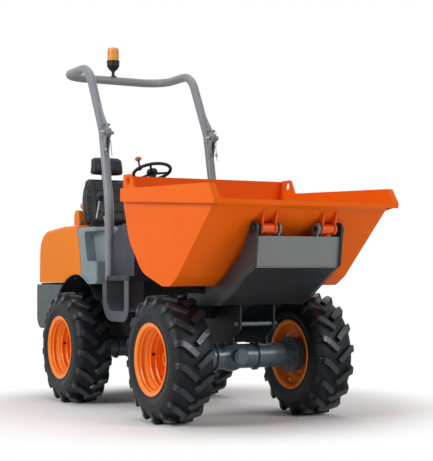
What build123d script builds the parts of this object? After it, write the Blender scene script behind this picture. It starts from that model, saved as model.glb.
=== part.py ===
from build123d import *
from math import atan2, cos, degrees, hypot, pi, radians, sin, sqrt, tan
import os

# Site dumper: articulated chassis, skip that tips over the front, roll-over hoop that folds.
# Frame: +X forward, +Y left, +Z up, millimetres. The origin is on the ground, midway between
# the front of the skip's lip and the back of the counterweight.

# ---- driving dimensions -------------------------------------------------------------------
# Wheels
WHEELBASE = 1420
FRONT_AXLE_X = 690
TRACK = 950
TYRE_R = 375            # out to the tips of the lugs
TREAD_R = 345           # between the lugs
LUG_PAIRS = 17          # the two sides are half a pitch apart
SIDEWALL_R = 300        # where the tyre is widest
TREAD_EDGE = 28         # the tread's edge, in from the widest point
TYRE_WIDTH = 264
BEAD_R = 194.5
BEAD_HALF = 118
RIM_FLANGE_R = 212.5
RIM_HALF = 126
RIM_WALL = 6
DISC_SET_IN = 60        # wheel disc behind the wheel's centre plane, towards the machine
HUB_R = 98
DIFF_R = 88
SPINDLE_R = 30
RUNNING_GAP = 0.5       # between a shaft and its bore
FIT_GAP = 0.3           # between seated pieces that don't touch face to face

# Body widths, each a half width or the outer face's distance from the centre plane
SKIP_HALF = 570
RAIL_HALF = 605
ARM_OUTER = 285
BODY_HALF = 480
HOOP_Y = 400
CHASSIS_HALF = 120      # front chassis plates, outer face
REAR_FRAME_HALF = 250

# Plate thicknesses
SKIP_SHEET = 5
ARM_PLATE = 12
FRAME_PLATE = 12
COVER_WALL = 5
PANEL_PLATE = 8

# Skip pivot and tipping cylinder
SKIP_PIVOT = (1345, 1122)           # X, Z
PIN_R = 15
LUG_R = 38
CYLINDER_BASE = (340, 470)
CYLINDER_EYE = (1110, 885)
BARREL_R = 40
ROD_R = 18
BARREL_LENGTH = 560
EYE_R = 30

# Articulation
ARTICULATION_Z = 490
KING_PIN_R = 20
TONGUE_HALF = 30
FORK_GAP = 5
FORK_PLATE = 20

# Roll-over hoop
TUBE_R = 30
HOOP_PIVOT = (-372, 1819)
HUB_LUG_R = 32
POST_X = -340
POST_LEAN = 12          # degrees, above the bend
POST_BEND_Z = 1330
HOOP_LEAN = 28
HOOP_CUT_Z = 1785
HOOP_TOP_Z = 2308
HOOP_REAR_X = -1176

# Engine cover
COVER_HINGE = (-1425, 845)
COVER_BOTTOM = 815
COVER_TOP = 1210
COVER_REAR = -1450

# ---- worked out ---------------------------------------------------------------------------
REAR_AXLE_X = FRONT_AXLE_X - WHEELBASE
ARTICULATION_X = FRONT_AXLE_X - WHEELBASE / 2
AXLE_Z = TYRE_R
AXLE_SEAT_Z = AXLE_Z + 74       # underside of the chassis plates over the axles
WHEEL_Y = TRACK / 2
ARCH_R = 439
ARCH_Z = AXLE_Z + 58
LEFT, RIGHT = 1, -1


# ---- forms --------------------------------------------------------------------------------
def block(x, y, z):
    """A box between two values on each axis."""
    centre = Pos(sum(x) / 2, sum(y) / 2, sum(z) / 2)
    return centre * Box(x[1] - x[0], y[1] - y[0], z[1] - z[0])


def rod(start, end, radius):
    """A round bar between two points."""
    axis = Vector(*end) - Vector(*start)
    return extrude(Plane(origin=start, z_dir=axis) * Circle(radius), amount=axis.length)


def cross_rod(x, z, radius, y):
    """A round bar along Y between two values of Y."""
    return rod((x, y[0], z), (x, y[1], z), radius)


def xz_plate(points, y, radii=None):
    """A plate with its outline in XZ, between two values of Y; radii round its corners."""
    radii = radii or [0] * len(points)
    edge = FilletPolyline(*[(px, y[0], pz) for px, pz in points], radius=radii, close=True)
    return extrude(make_face(edge), amount=y[1] - y[0], dir=(0, 1, 0))


def xy_plate(points, z, radii=None):
    """A plate with its outline in XY, between two values of Z."""
    radii = radii or [0] * len(points)
    edge = FilletPolyline(*[(px, py, z[0]) for px, py in points], radius=radii, close=True)
    return extrude(make_face(edge), amount=z[1] - z[0], dir=(0, 0, 1))


def inset_path(points, distance):
    """The open path moved to its left by a distance, with mitred corners."""
    units = []
    for (ax, az), (bx, bz) in zip(points, points[1:]):
        length = hypot(bx - ax, bz - az)
        units.append(((bx - ax) / length, (bz - az) / length))
    moved = [(points[0][0] - distance * units[0][1], points[0][1] + distance * units[0][0])]
    for (px, pz), (ux, uz), (vx, vz) in zip(points[1:-1], units, units[1:]):
        scale = distance / (1 + ux * vx + uz * vz)
        moved.append((px - scale * (uz + vz), pz + scale * (ux + vx)))
    moved.append((points[-1][0] - distance * units[-1][1], points[-1][1] + distance * units[-1][0]))
    return moved


def on_line(a, b, x):
    """The Z of the line from a to b at an X."""
    return a[1] + (b[1] - a[1]) * (x - a[0]) / (b[0] - a[0])


def mirrored(shape):
    """The same piece on the machine's other side."""
    return mirror(shape, about=Plane.XZ)


def pair(shape):
    """A left-hand piece and its right-hand copy."""
    return [shape, mirrored(shape)]


def lug(centre, radius, foot, y):
    """A plate in XZ with a round end about a centre, spreading to a foot of two points."""
    (cx, cz), (ax, az), (bx, bz) = centre, *foot
    web = xz_plate([(cx - radius * 0.7, cz - radius * 0.7), (ax, az), (bx, bz),
                    (cx + radius * 0.7, cz + radius * 0.7)], y)
    return web + cross_rod(cx, cz, radius, y)


def save(name, *shapes):
    """Write one sub-part, with its solids side by side."""
    solids = [solid for shape in shapes for solid in shape.solids()]
    export_step(Compound(children=solids), f"parts/{name}.step")


# ---- wheels -------------------------------------------------------------------------------
def ring(profile, radii=None):
    """A closed profile of (radius, y) turned about the wheel's own axis, which lies along Y."""
    radii = radii or [0] * len(profile)
    edge = FilletPolyline(*[(r, y, 0) for r, y in profile], radius=radii, close=True)
    return revolve(make_face(edge), axis=Axis.Y)


def stave_ring(half_profile):
    """Half a profile of (radius, y), mirrored and carried round the axis in two flat staves a pitch."""
    outline = half_profile + [(r, -y) for r, y in reversed(half_profile)]
    staves = 2 * LUG_PAIRS
    reach, width = 1.2 * TYRE_R, TYRE_WIDTH
    slope = tan(radians(180 / staves))
    bar = extrude(make_face(Polyline(*[(r, y, 0) for r, y in outline], close=True)),
                  amount=reach * slope, both=True)
    wedge = xz_plate([(0, 0), (reach, reach * slope), (reach, -reach * slope)], (-width, width))
    stave = bar & wedge
    return stave + [Rot(0, turn * 360 / staves, 0) * stave for turn in range(1, staves)]


def lug_bar(side, crown):
    """A bent lug from near the tread's centre out over one shoulder, under the crown's outline."""
    stave = sin(radians(180 / LUG_PAIRS))
    nose, heel = TREAD_R * stave - 1, SIDEWALL_R * stave - 1
    past = TYRE_WIDTH / 2 + 8
    # ahead of the bend, out from the centre plane
    plan = ((nose, 32), (-8, past), (-heel, past), (0, 50), (nose, -14))
    foot = extrude(make_face(Polyline(*[(TREAD_R - 20, side * y, -ahead) for ahead, y in plan], close=True)),
                   amount=60, dir=(1, 0, 0))
    return foot & crown


def tyre():
    """A carcass of flat staves with its two rows of lugs, standing on a lug's ridge."""
    half, stave = TYRE_WIDTH / 2, 90 / LUG_PAIRS
    turned = Rot(0, stave, 0)
    carcass = turned * stave_ring([(BEAD_R + FIT_GAP, BEAD_HALF), (SIDEWALL_R, half),
                                   (TREAD_R, half - TREAD_EDGE)])
    crown = turned * stave_ring([(SIDEWALL_R, half), (TYRE_R * cos(radians(stave)), half - TREAD_EDGE)])
    lugs = []
    for side, start in ((RIGHT, 0), (LEFT, 0.5)):
        bar = lug_bar(side, crown)
        lugs += [Rot(0, (start + turn) * 360 / LUG_PAIRS, 0) * bar for turn in range(LUG_PAIRS)]
    return Rot(0, 90, 0) * (carcass + lugs)


def rim(side):
    """Flanged barrel with a well, a dished disc and a hub flange; side is +1 on the left."""
    drop = BEAD_R - 14
    outer = [(RIM_FLANGE_R, RIM_HALF), (RIM_FLANGE_R, BEAD_HALF + 3), (BEAD_R, BEAD_HALF + 0.5),
             (BEAD_R, 70), (drop, 55), (drop, -55), (BEAD_R, -70),
             (BEAD_R, -BEAD_HALF - 0.5), (RIM_FLANGE_R, -BEAD_HALF - 3), (RIM_FLANGE_R, -RIM_HALF)]
    inner = [(BEAD_R - RIM_WALL, -RIM_HALF + 3), (BEAD_R - RIM_WALL, -76), (drop - RIM_WALL, -58),
             (drop - RIM_WALL, 58), (BEAD_R - RIM_WALL, 76), (BEAD_R - RIM_WALL, RIM_HALF - 3)]
    barrel = ring(outer + inner)
    disc_y = -side * DISC_SET_IN
    seat = drop - RIM_WALL + 1
    disc = ring([(SPINDLE_R + 20, disc_y - 5), (seat, disc_y - 5), (seat, disc_y + 5),
                 (150, disc_y + 5), (120, disc_y + side * 24 + 5), (SPINDLE_R + 20, disc_y + side * 24 + 5)]
                if side > 0 else
                [(SPINDLE_R + 20, disc_y + 5), (seat, disc_y + 5), (seat, disc_y - 5),
                 (150, disc_y - 5), (120, disc_y + side * 24 - 5), (SPINDLE_R + 20, disc_y + side * 24 - 5)])
    hub_in = -side * (DISC_SET_IN - 4)
    hub = ring([(SPINDLE_R + RUNNING_GAP, hub_in), (60, hub_in), (60, side * 10),
                (45, side * 22), (SPINDLE_R + RUNNING_GAP, side * 22)])
    return barrel + disc + hub


def wheels():
    """Four wheels: each tyre and each rim is a piece of its own."""
    # name, axle X, side
    corners = (("front_left", FRONT_AXLE_X, LEFT), ("front_right", FRONT_AXLE_X, RIGHT),
               ("rear_left", REAR_AXLE_X, LEFT), ("rear_right", REAR_AXLE_X, RIGHT))
    rubber = tyre()
    for name, x, side in corners:
        place = Pos(x, side * WHEEL_Y, AXLE_Z)
        save(f"tyre_{name}", place * rubber)
        save(f"rim_{name}", place * rim(side))


CASING_HALF = 290


def axle(x, facing):
    """A beam axle: fat casing, off-centre differential, reduction drums, spindles; facing +1 or -1."""
    drum_in = WHEEL_Y - RIM_HALF - 6
    drum_out = WHEEL_Y - DISC_SET_IN - 12
    seat_r = AXLE_SEAT_Z - FIT_GAP - AXLE_Z
    beam = cross_rod(x, AXLE_Z, 60, (-drum_in, drum_in)) + cross_rod(x, AXLE_Z, seat_r, (-CASING_HALF, CASING_HALF))
    centre = (x, -60, AXLE_Z)
    beam += Pos(*centre) * Sphere(DIFF_R)
    beam += rod((x, -60, AXLE_Z + 5), (x + facing * 128, -60, AXLE_Z + 5), 42)
    beam += rod((x, -60, AXLE_Z), (x - facing * 150, -60, AXLE_Z), 46)
    for side in (LEFT, RIGHT):
        beam += cross_rod(x, AXLE_Z, HUB_R, sorted((side * drum_in, side * drum_out)))
        beam += cross_rod(x, AXLE_Z, HUB_R + 12, sorted((side * drum_in, side * (drum_in + 14))))
        for rib in range(3):
            rib_in = drum_in + 22 + 14 * rib
            beam += cross_rod(x, AXLE_Z, HUB_R + 6, sorted((side * rib_in, side * (rib_in + 6))))
        beam += cross_rod(x, AXLE_Z, SPINDLE_R, sorted((side * drum_out, side * (WHEEL_Y + 16))))
    return beam


# ---- skip ---------------------------------------------------------------------------------
# Side profile of the folded sheet, outer face: X, Z, bend radius
SKIP_PROFILE = ((270, 1475, 0), (258, 1300, 150), (340, 1075, 220), (520, 880, 260),
                (790, 800, 60), (885, 800, 60), (980, 852, 90), (1394, 1231, 0))
RAIL_REAR = (285, 1395)
RAIL_FRONT = (1419, 1356)
LIP_FRONT = (1477, 1271)
LIP_DROP = (1471, 1243)
RAIL_DEPTH_REAR = 80


def skip_outline():
    """The folded sheet's outer path and its bend radii."""
    path = [(x, z) for x, z, _ in SKIP_PROFILE]
    return path, [radius for _, _, radius in SKIP_PROFILE]


def skip_floor():
    """Rear wall, bottom and front wall, folded from one sheet."""
    path, radii = skip_outline()
    inner = inset_path(path, SKIP_SHEET)
    inner_radii = [max(radius - SKIP_SHEET, 0) for radius in radii]
    width = SKIP_HALF - SKIP_SHEET
    return xz_plate(path + inner[::-1], (-width, width), radii + inner_radii[::-1])


def skip_side():
    """Left side wall with its folded rail and the lifting lug on the rear corner."""
    path, radii = skip_outline()
    rear_top = (path[0][0] + (RAIL_REAR[1] - path[0][1]) * (path[1][0] - path[0][0])
                / (path[1][1] - path[0][1]), RAIL_REAR[1])
    edge = [rear_top] + path[1:] + [LIP_DROP, LIP_FRONT, RAIL_FRONT]
    wall = xz_plate(edge, (SKIP_HALF - SKIP_SHEET, SKIP_HALF), radii + [0, 0, 0])
    band = [(RAIL_REAR[0], RAIL_REAR[1] - RAIL_DEPTH_REAR), LIP_DROP, LIP_FRONT, RAIL_FRONT, RAIL_REAR]
    rail = xz_plate(band, (SKIP_HALF, RAIL_HALF))
    inside = inset_path([LIP_DROP, LIP_FRONT, RAIL_FRONT, RAIL_REAR,
                         (RAIL_REAR[0], RAIL_REAR[1] - RAIL_DEPTH_REAR)], SKIP_SHEET)
    below = 40
    inside = inside + [(inside[-1][0], inside[-1][1] - below), (inside[0][0], inside[0][1] - below)]
    rail -= xz_plate(inside, (SKIP_HALF, RAIL_HALF - SKIP_SHEET))
    lug_top = 1480
    on_rail = on_line(RAIL_REAR, RAIL_FRONT, 425) - 1
    eye = xz_plate([(rear_top[0], on_rail), (425, on_rail), (378, lug_top), (271, lug_top)],
                   (SKIP_HALF - SKIP_SHEET, SKIP_HALF + LIFT_PLATE - SKIP_SHEET), [0, 0, 28, 8])
    eye -= cross_rod(*LIFT_EYE, LIFT_EYE_R, (SKIP_HALF - 30, SKIP_HALF + 30))
    return wall + rail + eye


LIFT_EYE = (340, 1440)
LIFT_EYE_R = 25
LIFT_PLATE = 12


def skip_lip():
    """The pouring lip: a flange on the front wall's top edge, turned down at its front."""
    path, _ = skip_outline()
    inner = inset_path(path, SKIP_SHEET)
    face = [inner[-1], LIP_FRONT, LIP_DROP]
    back = inset_path(face[::-1], SKIP_SHEET)
    outline = [path[-1], inner[-1], LIP_FRONT, LIP_DROP, back[0], back[1]]
    return xz_plate(outline, (-SKIP_HALF + SKIP_SHEET, SKIP_HALF - SKIP_SHEET))


BRACKET_Y = (150, 245)
BRACKET_PLATE = 10
CLEVIS_Y = 38


def front_wall_z(x):
    """The Z of the front wall's outer face at an X."""
    path, _ = skip_outline()
    return on_line(path[-2], path[-1], x)


def skip_brackets():
    """Two hinge brackets and the cylinder's clevis, all on the front wall's outer face."""
    pieces = []
    left, right = BRACKET_Y
    wall_from, wall_to = SKIP_PIVOT[0] - 95, SKIP_PIVOT[0] + 44
    foot = ((wall_from, front_wall_z(wall_from)), (wall_to, front_wall_z(wall_to)))
    legs = None
    for y in (left, right - BRACKET_PLATE):
        leg = lug(SKIP_PIVOT, LUG_R - 4, foot, (y, y + BRACKET_PLATE))
        legs = leg if legs is None else legs + leg
    legs += cross_rod(*SKIP_PIVOT, 26, BRACKET_Y)
    legs -= cross_rod(*SKIP_PIVOT, PIN_R + RUNNING_GAP, (left - 5, right + 5))
    pieces += pair(legs)
    ex, ez = CYLINDER_EYE
    foot = ((ex - 90, front_wall_z(ex - 90)), (ex + 75, front_wall_z(ex + 75)))
    cheek = lug(CYLINDER_EYE, EYE_R + 4, foot, (CLEVIS_Y, CLEVIS_Y + BRACKET_PLATE))
    cheek += cross_rod(ex, ez, PIN_R + 7, (CLEVIS_Y + BRACKET_PLATE, CLEVIS_Y + BRACKET_PLATE + 8))
    pieces += pair(cheek)
    return pieces


# ---- tipping cylinder ---------------------------------------------------------------------
def along_cylinder(distance, across=0.0):
    """A point in XZ at a distance along the closed cylinder from its base pin."""
    (bx, bz), (ex, ez) = CYLINDER_BASE, CYLINDER_EYE
    length = hypot(ex - bx, ez - bz)
    ux, uz = (ex - bx) / length, (ez - bz) / length
    return bx + ux * distance - uz * across, bz + uz * distance + ux * across


def cylinder_span(start, end, radius):
    """A round bar on the cylinder's line between two distances from its base pin."""
    (ax, az), (bx, bz) = along_cylinder(start), along_cylinder(end)
    return rod((ax, 0, az), (bx, 0, bz), radius)


def tipping_barrel():
    """Barrel with its base eye, gland and port boss."""
    barrel = cross_rod(*CYLINDER_BASE, EYE_R + 4, (-EYE_R, EYE_R))
    barrel += cylinder_span(EYE_R + 16, BARREL_LENGTH, BARREL_R)
    barrel += cylinder_span(20, EYE_R + 20, 24)
    barrel += cylinder_span(BARREL_LENGTH - 45, BARREL_LENGTH + 6, BARREL_R + 4)
    barrel -= cylinder_span(60, BARREL_LENGTH + 20, ROD_R + RUNNING_GAP)
    barrel -= cross_rod(*CYLINDER_BASE, PIN_R + RUNNING_GAP, (-EYE_R - 5, EYE_R + 5))
    return barrel


def tipping_rod():
    """Rod with its eye and the stub of its pin, free between the clevis plates."""
    reach = hypot(CYLINDER_EYE[0] - CYLINDER_BASE[0], CYLINDER_EYE[1] - CYLINDER_BASE[1])
    half = CLEVIS_Y - 6
    shaft = cylinder_span(70, reach, ROD_R)
    return shaft + cross_rod(*CYLINDER_EYE, EYE_R, (-half, half))


# ---- front chassis ------------------------------------------------------------------------
# Side outline of the front chassis plates: X, Z
CHASSIS_PLATE = ((95, 640), (95, 440), (430, 440), (560, 452), (560, AXLE_SEAT_Z), (820, AXLE_SEAT_Z),
                 (820, 500), (905, 545), (905, 690), (820, 700), (300, 700))
# Side outline of a tower arm up to the pivot, rear edge first: X, Z
ARM_REAR_EDGE = ((560, 755), (800, 755), (905, 787), (1030, 860), (1210, 986), (1281, 1100))
ARM_FRONT_EDGE = ((1383, 1122), (1358, 917), (1218, 839), (1058, 737), (942, 686), (560, 686))


def front_steer_lugs():
    """Lugs on the right-hand plate round the steering rod's eye."""
    (ex, ey), face = STEER_EYE, -CHASSIS_HALF + 2
    lugs = []
    for low in (STEER_Z - 26, STEER_Z + 16):
        web = xy_plate([(ex - 20, ey), (ex + 20, ey), (ex + 40, face), (ex - 40, face)], (low, low + 10))
        web += rod((ex, ey, low), (ex, ey, low + 10), STEER_EYE_R)
        lugs.append(web)
    return lugs[0] + lugs[1]


def front_chassis():
    """Two longitudinal plates, deck, cross members, tongue, axle saddles and towing bar."""
    inner = CHASSIS_HALF - FRAME_PLATE
    plate = xz_plate(CHASSIS_PLATE, (inner, CHASSIS_HALF))
    frame = plate + mirrored(plate)
    frame += block((95, 107), (-CHASSIS_HALF, CHASSIS_HALF), (440, 640))
    tongue_z = (ARTICULATION_Z - TONGUE_HALF, ARTICULATION_Z + TONGUE_HALF)
    tongue = block((ARTICULATION_X, 100), (-55, 55), tongue_z)
    tongue += rod((ARTICULATION_X, 0, tongue_z[0]), (ARTICULATION_X, 0, tongue_z[1]), 55)
    tongue -= rod((ARTICULATION_X, 0, tongue_z[0] - 5), (ARTICULATION_X, 0, tongue_z[1] + 5),
                  KING_PIN_R + RUNNING_GAP)
    frame += tongue
    frame += front_steer_lugs()
    # base pin of the tipping cylinder, across the plates
    frame += cross_rod(*CYLINDER_BASE, PIN_R, (-CHASSIS_HALF - 12, CHASSIS_HALF + 12))
    # deck strips beside the cylinder's slot, out to the tower arms
    for side in (LEFT, RIGHT):
        strip = sorted((side * 55, side * (ARM_OUTER - ARM_PLATE)))
        frame += block((560, 940), strip, (700, 710))
        gusset = sorted((side * CHASSIS_HALF, side * (ARM_OUTER - ARM_PLATE)))
        frame += block((560, 572), gusset, (600, 700))
    # towing bar between the plates' front ends
    frame += cross_rod(880, 577, 13, (-CHASSIS_HALF - 10, CHASSIS_HALF + 10))
    return frame


def tower_arm():
    """Left arm from the deck up to the skip's pivot."""
    px, pz = SKIP_PIVOT
    outline = list(ARM_REAR_EDGE) + [(px - LUG_R, pz), (px + LUG_R, pz)] + list(ARM_FRONT_EDGE[1:])
    span = (ARM_OUTER - ARM_PLATE, ARM_OUTER)
    arm = xz_plate(outline, span) + cross_rod(px, pz, LUG_R, span)
    return arm - cross_rod(px, pz, PIN_R + FIT_GAP, (span[0] - 5, span[1] + 5))


FACE_TOP = (1361, 1078)
FACE_BOTTOM = (1336, 911)
FACE_PLATE = 8
INNER_LUG_Y = (122, 134)


def tower_face():
    """Grey cross plate between the arms, with the two inner pivot lugs behind it."""
    half = ARM_OUTER - ARM_PLATE
    path = [FACE_BOTTOM, FACE_TOP]
    inner = inset_path(path, FACE_PLATE)
    face = xz_plate([FACE_BOTTOM, FACE_TOP, inner[1], inner[0]], (-half, half))
    px, pz = SKIP_PIVOT
    web = xz_plate([(px - LUG_R, pz), (px + 20, pz), (inner[1][0], inner[1][1] - 2), inner[0],
                    (1262, 930), (1262, 1000)], INNER_LUG_Y)
    web += cross_rod(px, pz, LUG_R - 4, INNER_LUG_Y)
    web -= cross_rod(px, pz, PIN_R + FIT_GAP, (100, 150))
    return face + web + mirrored(web)


BELLY_PATH = ((942, 690), (1058, 741), (1218, 843), (1328, 903))


def tower_belly():
    """Dark plate that closes the tower along the arms' lower edges."""
    half = ARM_OUTER - ARM_PLATE
    path = list(BELLY_PATH)
    return xz_plate(path + inset_path(path, FACE_PLATE)[::-1], (-half, half))


def pivot_pins():
    """Left pivot pin, from the arm through the bracket to the inner lug."""
    px, pz = SKIP_PIVOT
    pin = cross_rod(px, pz, PIN_R, (INNER_LUG_Y[0] - 4, ARM_OUTER + 12))
    return pin + cross_rod(px, pz, PIN_R + 8, (ARM_OUTER + FIT_GAP, ARM_OUTER + 12))


# ---- rear chassis -------------------------------------------------------------------------
def rear_chassis():
    """Fork, longitudinal plates, cross members, axle saddle, post outriggers and engine bed."""
    inner = REAR_FRAME_HALF - FRAME_PLATE
    outline = [(-1230, 560), (-1230, 780), (-300, 780), (-300, 470), (-480, AXLE_SEAT_Z), (-1000, AXLE_SEAT_Z)]
    plate = xz_plate(outline, (inner, REAR_FRAME_HALF))
    frame = plate + mirrored(plate)
    frame += block((-312, -300), (-inner, inner), (420, 780))
    frame += block((-1230, -1218), (-inner, inner), (560, 780))
    frame += block((-1218, -312), (-inner, inner), (540, 550))
    for low in (ARTICULATION_Z - TONGUE_HALF - FORK_GAP - FORK_PLATE,
                ARTICULATION_Z + TONGUE_HALF + FORK_GAP):
        high = low + FORK_PLATE
        arm = xy_plate([(-300, -160), (-300, 160), (ARTICULATION_X, 50), (ARTICULATION_X, -50)],
                       (low, high))
        frame += arm + rod((ARTICULATION_X, 0, low), (ARTICULATION_X, 0, high), 50)
    reach = TONGUE_HALF + FORK_GAP + FORK_PLATE + 14
    frame += rod((ARTICULATION_X, 0, ARTICULATION_Z - reach), (ARTICULATION_X, 0, ARTICULATION_Z + reach),
                 KING_PIN_R)
    bx, by = STEER_BASE
    frame += steer_lugs(STEER_BASE, ((-302, by - 40), (-302, by + 40)))
    frame += upright(*STEER_BASE, STEER_PIN_R, 28)
    for side in (LEFT, RIGHT):
        frame += block((POST_X - TUBE_R, POST_X + TUBE_R), sorted((side * inner, side * (HOOP_Y + TUBE_R))),
                       (POST_FOOT_Z - 12, POST_FOOT_Z))
        frame += block((POST_X - 6, POST_X + 6), sorted((side * inner, side * (HOOP_Y - 40))),
                       (POST_FOOT_Z - 62, POST_FOOT_Z - 12))
    frame += block((REAR_AXLE_X - 60, REAR_AXLE_X + 60), (-inner, -inner + 60), (AXLE_SEAT_Z, 540))
    frame += block((REAR_AXLE_X - 60, REAR_AXLE_X + 60), (inner - 60, inner), (AXLE_SEAT_Z, 540))
    return frame


POST_FOOT_Z = 760


def counterweight():
    """Rear bumper weight: a thick shell, rounded below, that ends on the wheel arches."""
    outline = [(-1480, 800), (-1480, 480), (-1160, 480), (-960, 800)]
    body = xz_plate(outline, (-BODY_HALF, BODY_HALF), [14, 90, 30, 0])
    body -= cross_rod(REAR_AXLE_X, ARCH_Z, ARCH_R, (-BODY_HALF - 5, -REAR_FRAME_HALF - FIT_GAP))
    body -= cross_rod(REAR_AXLE_X, ARCH_Z, ARCH_R, (REAR_FRAME_HALF + FIT_GAP, BODY_HALF + 5))
    body -= block((-1230 - FIT_GAP, -900), (-REAR_FRAME_HALF - FIT_GAP, REAR_FRAME_HALF + FIT_GAP),
                  (470, 810))
    for side in (LEFT, RIGHT):
        span = sorted((side * HINGE_LUG_Y[0], side * HINGE_LUG_Y[1]))
        body += lug(COVER_HINGE, 14, ((COVER_HINGE[0] - 5, 799), (COVER_HINGE[0] + 40, 799)), span)
        body += cross_rod(*COVER_HINGE, 7, sorted((side * HINGE_LUG_Y[0], side * (HINGE_LUG_Y[1] + 30))))
    return body


HINGE_LUG_Y = (225, 245)


# ---- body panels --------------------------------------------------------------------------
SEAM_R = 785            # seam between cover and side panels: an arc about the cover's hinge
SEAM_GAP = 6
PANEL_INNER = 300
RECESS_HALF = 240       # seat's place in the cover
RECESS_Z = 1085


def seam_cylinder(radius, half):
    """The round bar about the cover's hinge that the seam lies on."""
    return cross_rod(*COVER_HINGE, radius, (-half, half))


def arch_cut(y):
    """The round wheel arch, between two values of Y."""
    return cross_rod(REAR_AXLE_X, ARCH_Z, ARCH_R, y)


def side_panel():
    """Left body side between cover and post: a moulded box with a stepped foot pocket."""
    foot = COVER_BOTTOM - 8
    outline = [(-760, foot), (-760, PANEL_TOP), (-420, PANEL_TOP), (-376, PANEL_TOP - 60), (-376, foot)]
    panel = xz_plate(outline, (PANEL_INNER, BODY_HALF), [0, 0, 60, 30, 0])
    panel = fillet(panel.edges().group_by(Axis.Y)[-1].filter_by(lambda edge: edge.center().Z > PANEL_TOP - 60), 14)
    lip = cross_rod(REAR_AXLE_X, ARCH_Z, ARCH_R + 10, (BODY_HALF - 20, BODY_HALF + 8))
    panel += lip & block((-760, -376), (0, 600), (foot, PANEL_TOP - 100))
    panel += block((-560, -376), (BODY_HALF - 20, BODY_HALF + 6), (foot, foot + 12))
    panel -= arch_cut((PANEL_INNER - 5, BODY_HALF + 20))
    panel -= seam_cylinder(SEAM_R + SEAM_GAP, BODY_HALF + 20)
    pocket = xz_plate([(-585, 1160), (-350, 1160), (-350, 957), (-528, 957)],
                      (BODY_HALF - 70, BODY_HALF + 5), [25, 0, 0, 18])
    return panel - pocket


PANEL_TOP = 1190


def fender_liner():
    """Left inner arch: a curved sheet between the frame and the body side."""
    span = (REAR_FRAME_HALF + FIT_GAP, BODY_HALF - 4)
    sheet = cross_rod(REAR_AXLE_X, ARCH_Z, ARCH_R - FIT_GAP, span)
    sheet -= cross_rod(REAR_AXLE_X, ARCH_Z, ARCH_R - 5, (span[0] - 5, span[1] + 5))
    sheet -= block((-2000, REAR_AXLE_X), (0, 600), (-100, 640))
    sheet -= block((REAR_AXLE_X, 500), (0, 600), (-100, 700))
    return sheet


def engine_cover():
    """Cover over the engine: a rounded shell with a seat recess and a hump, open below."""
    def form(wall):
        rear, top, half = COVER_REAR + wall, COVER_TOP - wall, BODY_HALF - wall
        base = COVER_BOTTOM - (5 if wall else 0)
        outline = [(rear, base), (rear + 12, top - 30), (-1000, top), (-560, top), (-560, base)]
        body = xz_plate(outline, (-half, half), [0, 170 - wall, 600, 0, 0])
        long_edges = body.edges().filter_by(lambda edge: abs(abs(edge.center().Y) - half) < 1
                                            and edge.center().Z > base + 1 and edge.center().X < -600)
        body = fillet(long_edges, 30 - wall)
        body &= seam_cylinder(SEAM_R - wall, half)
        hump = xz_plate([(-1440 + wall, 1080), (-1428 + wall, HUMP_TOP - wall),
                         (-1345 - wall, HUMP_TOP - wall), (-1290 - wall, 1080)],
                        (-HUMP_HALF + wall, HUMP_HALF - wall), [0, 45, 25, 0])
        recess = block((-1290 - wall, -500), (-RECESS_HALF - wall, RECESS_HALF + wall),
                       (RECESS_Z - wall, 1400))
        return body + hump - recess
    shell = form(0) - form(COVER_WALL)
    hx, hz = COVER_HINGE
    for side in (LEFT, RIGHT):
        shell -= arch_cut(sorted((side * REAR_FRAME_HALF, side * (BODY_HALF + 5))))
        # slot that the counterweight's hinge lug stands in as the cover swings
        slot = sorted((side * (HINGE_LUG_Y[0] - 6), side * (HINGE_LUG_Y[1] + 3)))
        shell -= block((COVER_REAR - 5, COVER_REAR + 30), slot, (COVER_BOTTOM - 5, hz + 14))
    return shell


HUMP_TOP = 1350
HUMP_HALF = 205


def marker_lamp():
    """Amber lamp on a bent bracket behind the seat, on the cover's hump."""
    x, y, z = -1400, -140, HUMP_TOP + 33
    lens = rod((x - 14, y, z), (x + 22, y, z), 24)
    bracket = block((x - 3, x + 3), (y + 24 + FIT_GAP, y + 76), (HUMP_TOP + FIT_GAP, z + 12))
    bracket += block((x - 22, x + 22), (y + 46, y + 76), (HUMP_TOP + FIT_GAP, HUMP_TOP + 4))
    arm = rod((x, y + 22, z), (x, y + 30, z), 8)
    return lens + bracket + arm


def cover_hinge():
    """Left hinge eye inside the cover, round the counterweight's pin."""
    span = (248, 268)
    (hx, hz), wall = COVER_HINGE, COVER_REAR + 3
    eye = xz_plate([(wall, hz - 14), (hx, hz - 14), (hx, hz + 14), (wall, hz + 60)], span)
    eye += cross_rod(hx, hz, 14, span)
    return eye - cross_rod(*COVER_HINGE, 7 + RUNNING_GAP, (240, 280))


def platform():
    """Operator's floor with its edge flanges, on the rear chassis."""
    floor = block((-555, 30), (-HOOP_Y + PANEL_PLATE, HOOP_Y - PANEL_PLATE), (840, 850))
    for side in (LEFT, RIGHT):
        floor -= block((-640, -376 + FIT_GAP), sorted((side * (PANEL_INNER - FIT_GAP), side * 500)),
                       (830, 860))
        floor -= rod((POST_X, side * HOOP_Y, 830), (POST_X, side * HOOP_Y, 860), TUBE_R + FIT_GAP)
    floor += block((-600, -300), (-200, 200), (780, 840))
    return floor


def console():
    """Knee console: two side panels and a front panel round the footwell."""
    side = xz_plate([(-305, 830), (-305, 1120), (-120, 1200), (48, 1200), (48, 830)],
                    (HOOP_Y - PANEL_PLATE, HOOP_Y), [0, 30, 40, 20, 0])
    flange = block((-305, 48), (HOOP_Y, STEP_FACE_Y + STEP_PLATE), PLATFORM_FLANGE_Z)
    front = block((40, 48), (-HOOP_Y + PANEL_PLATE, HOOP_Y - PANEL_PLATE), (830, 1195))
    return side + flange + mirrored(side + flange) + front


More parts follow.
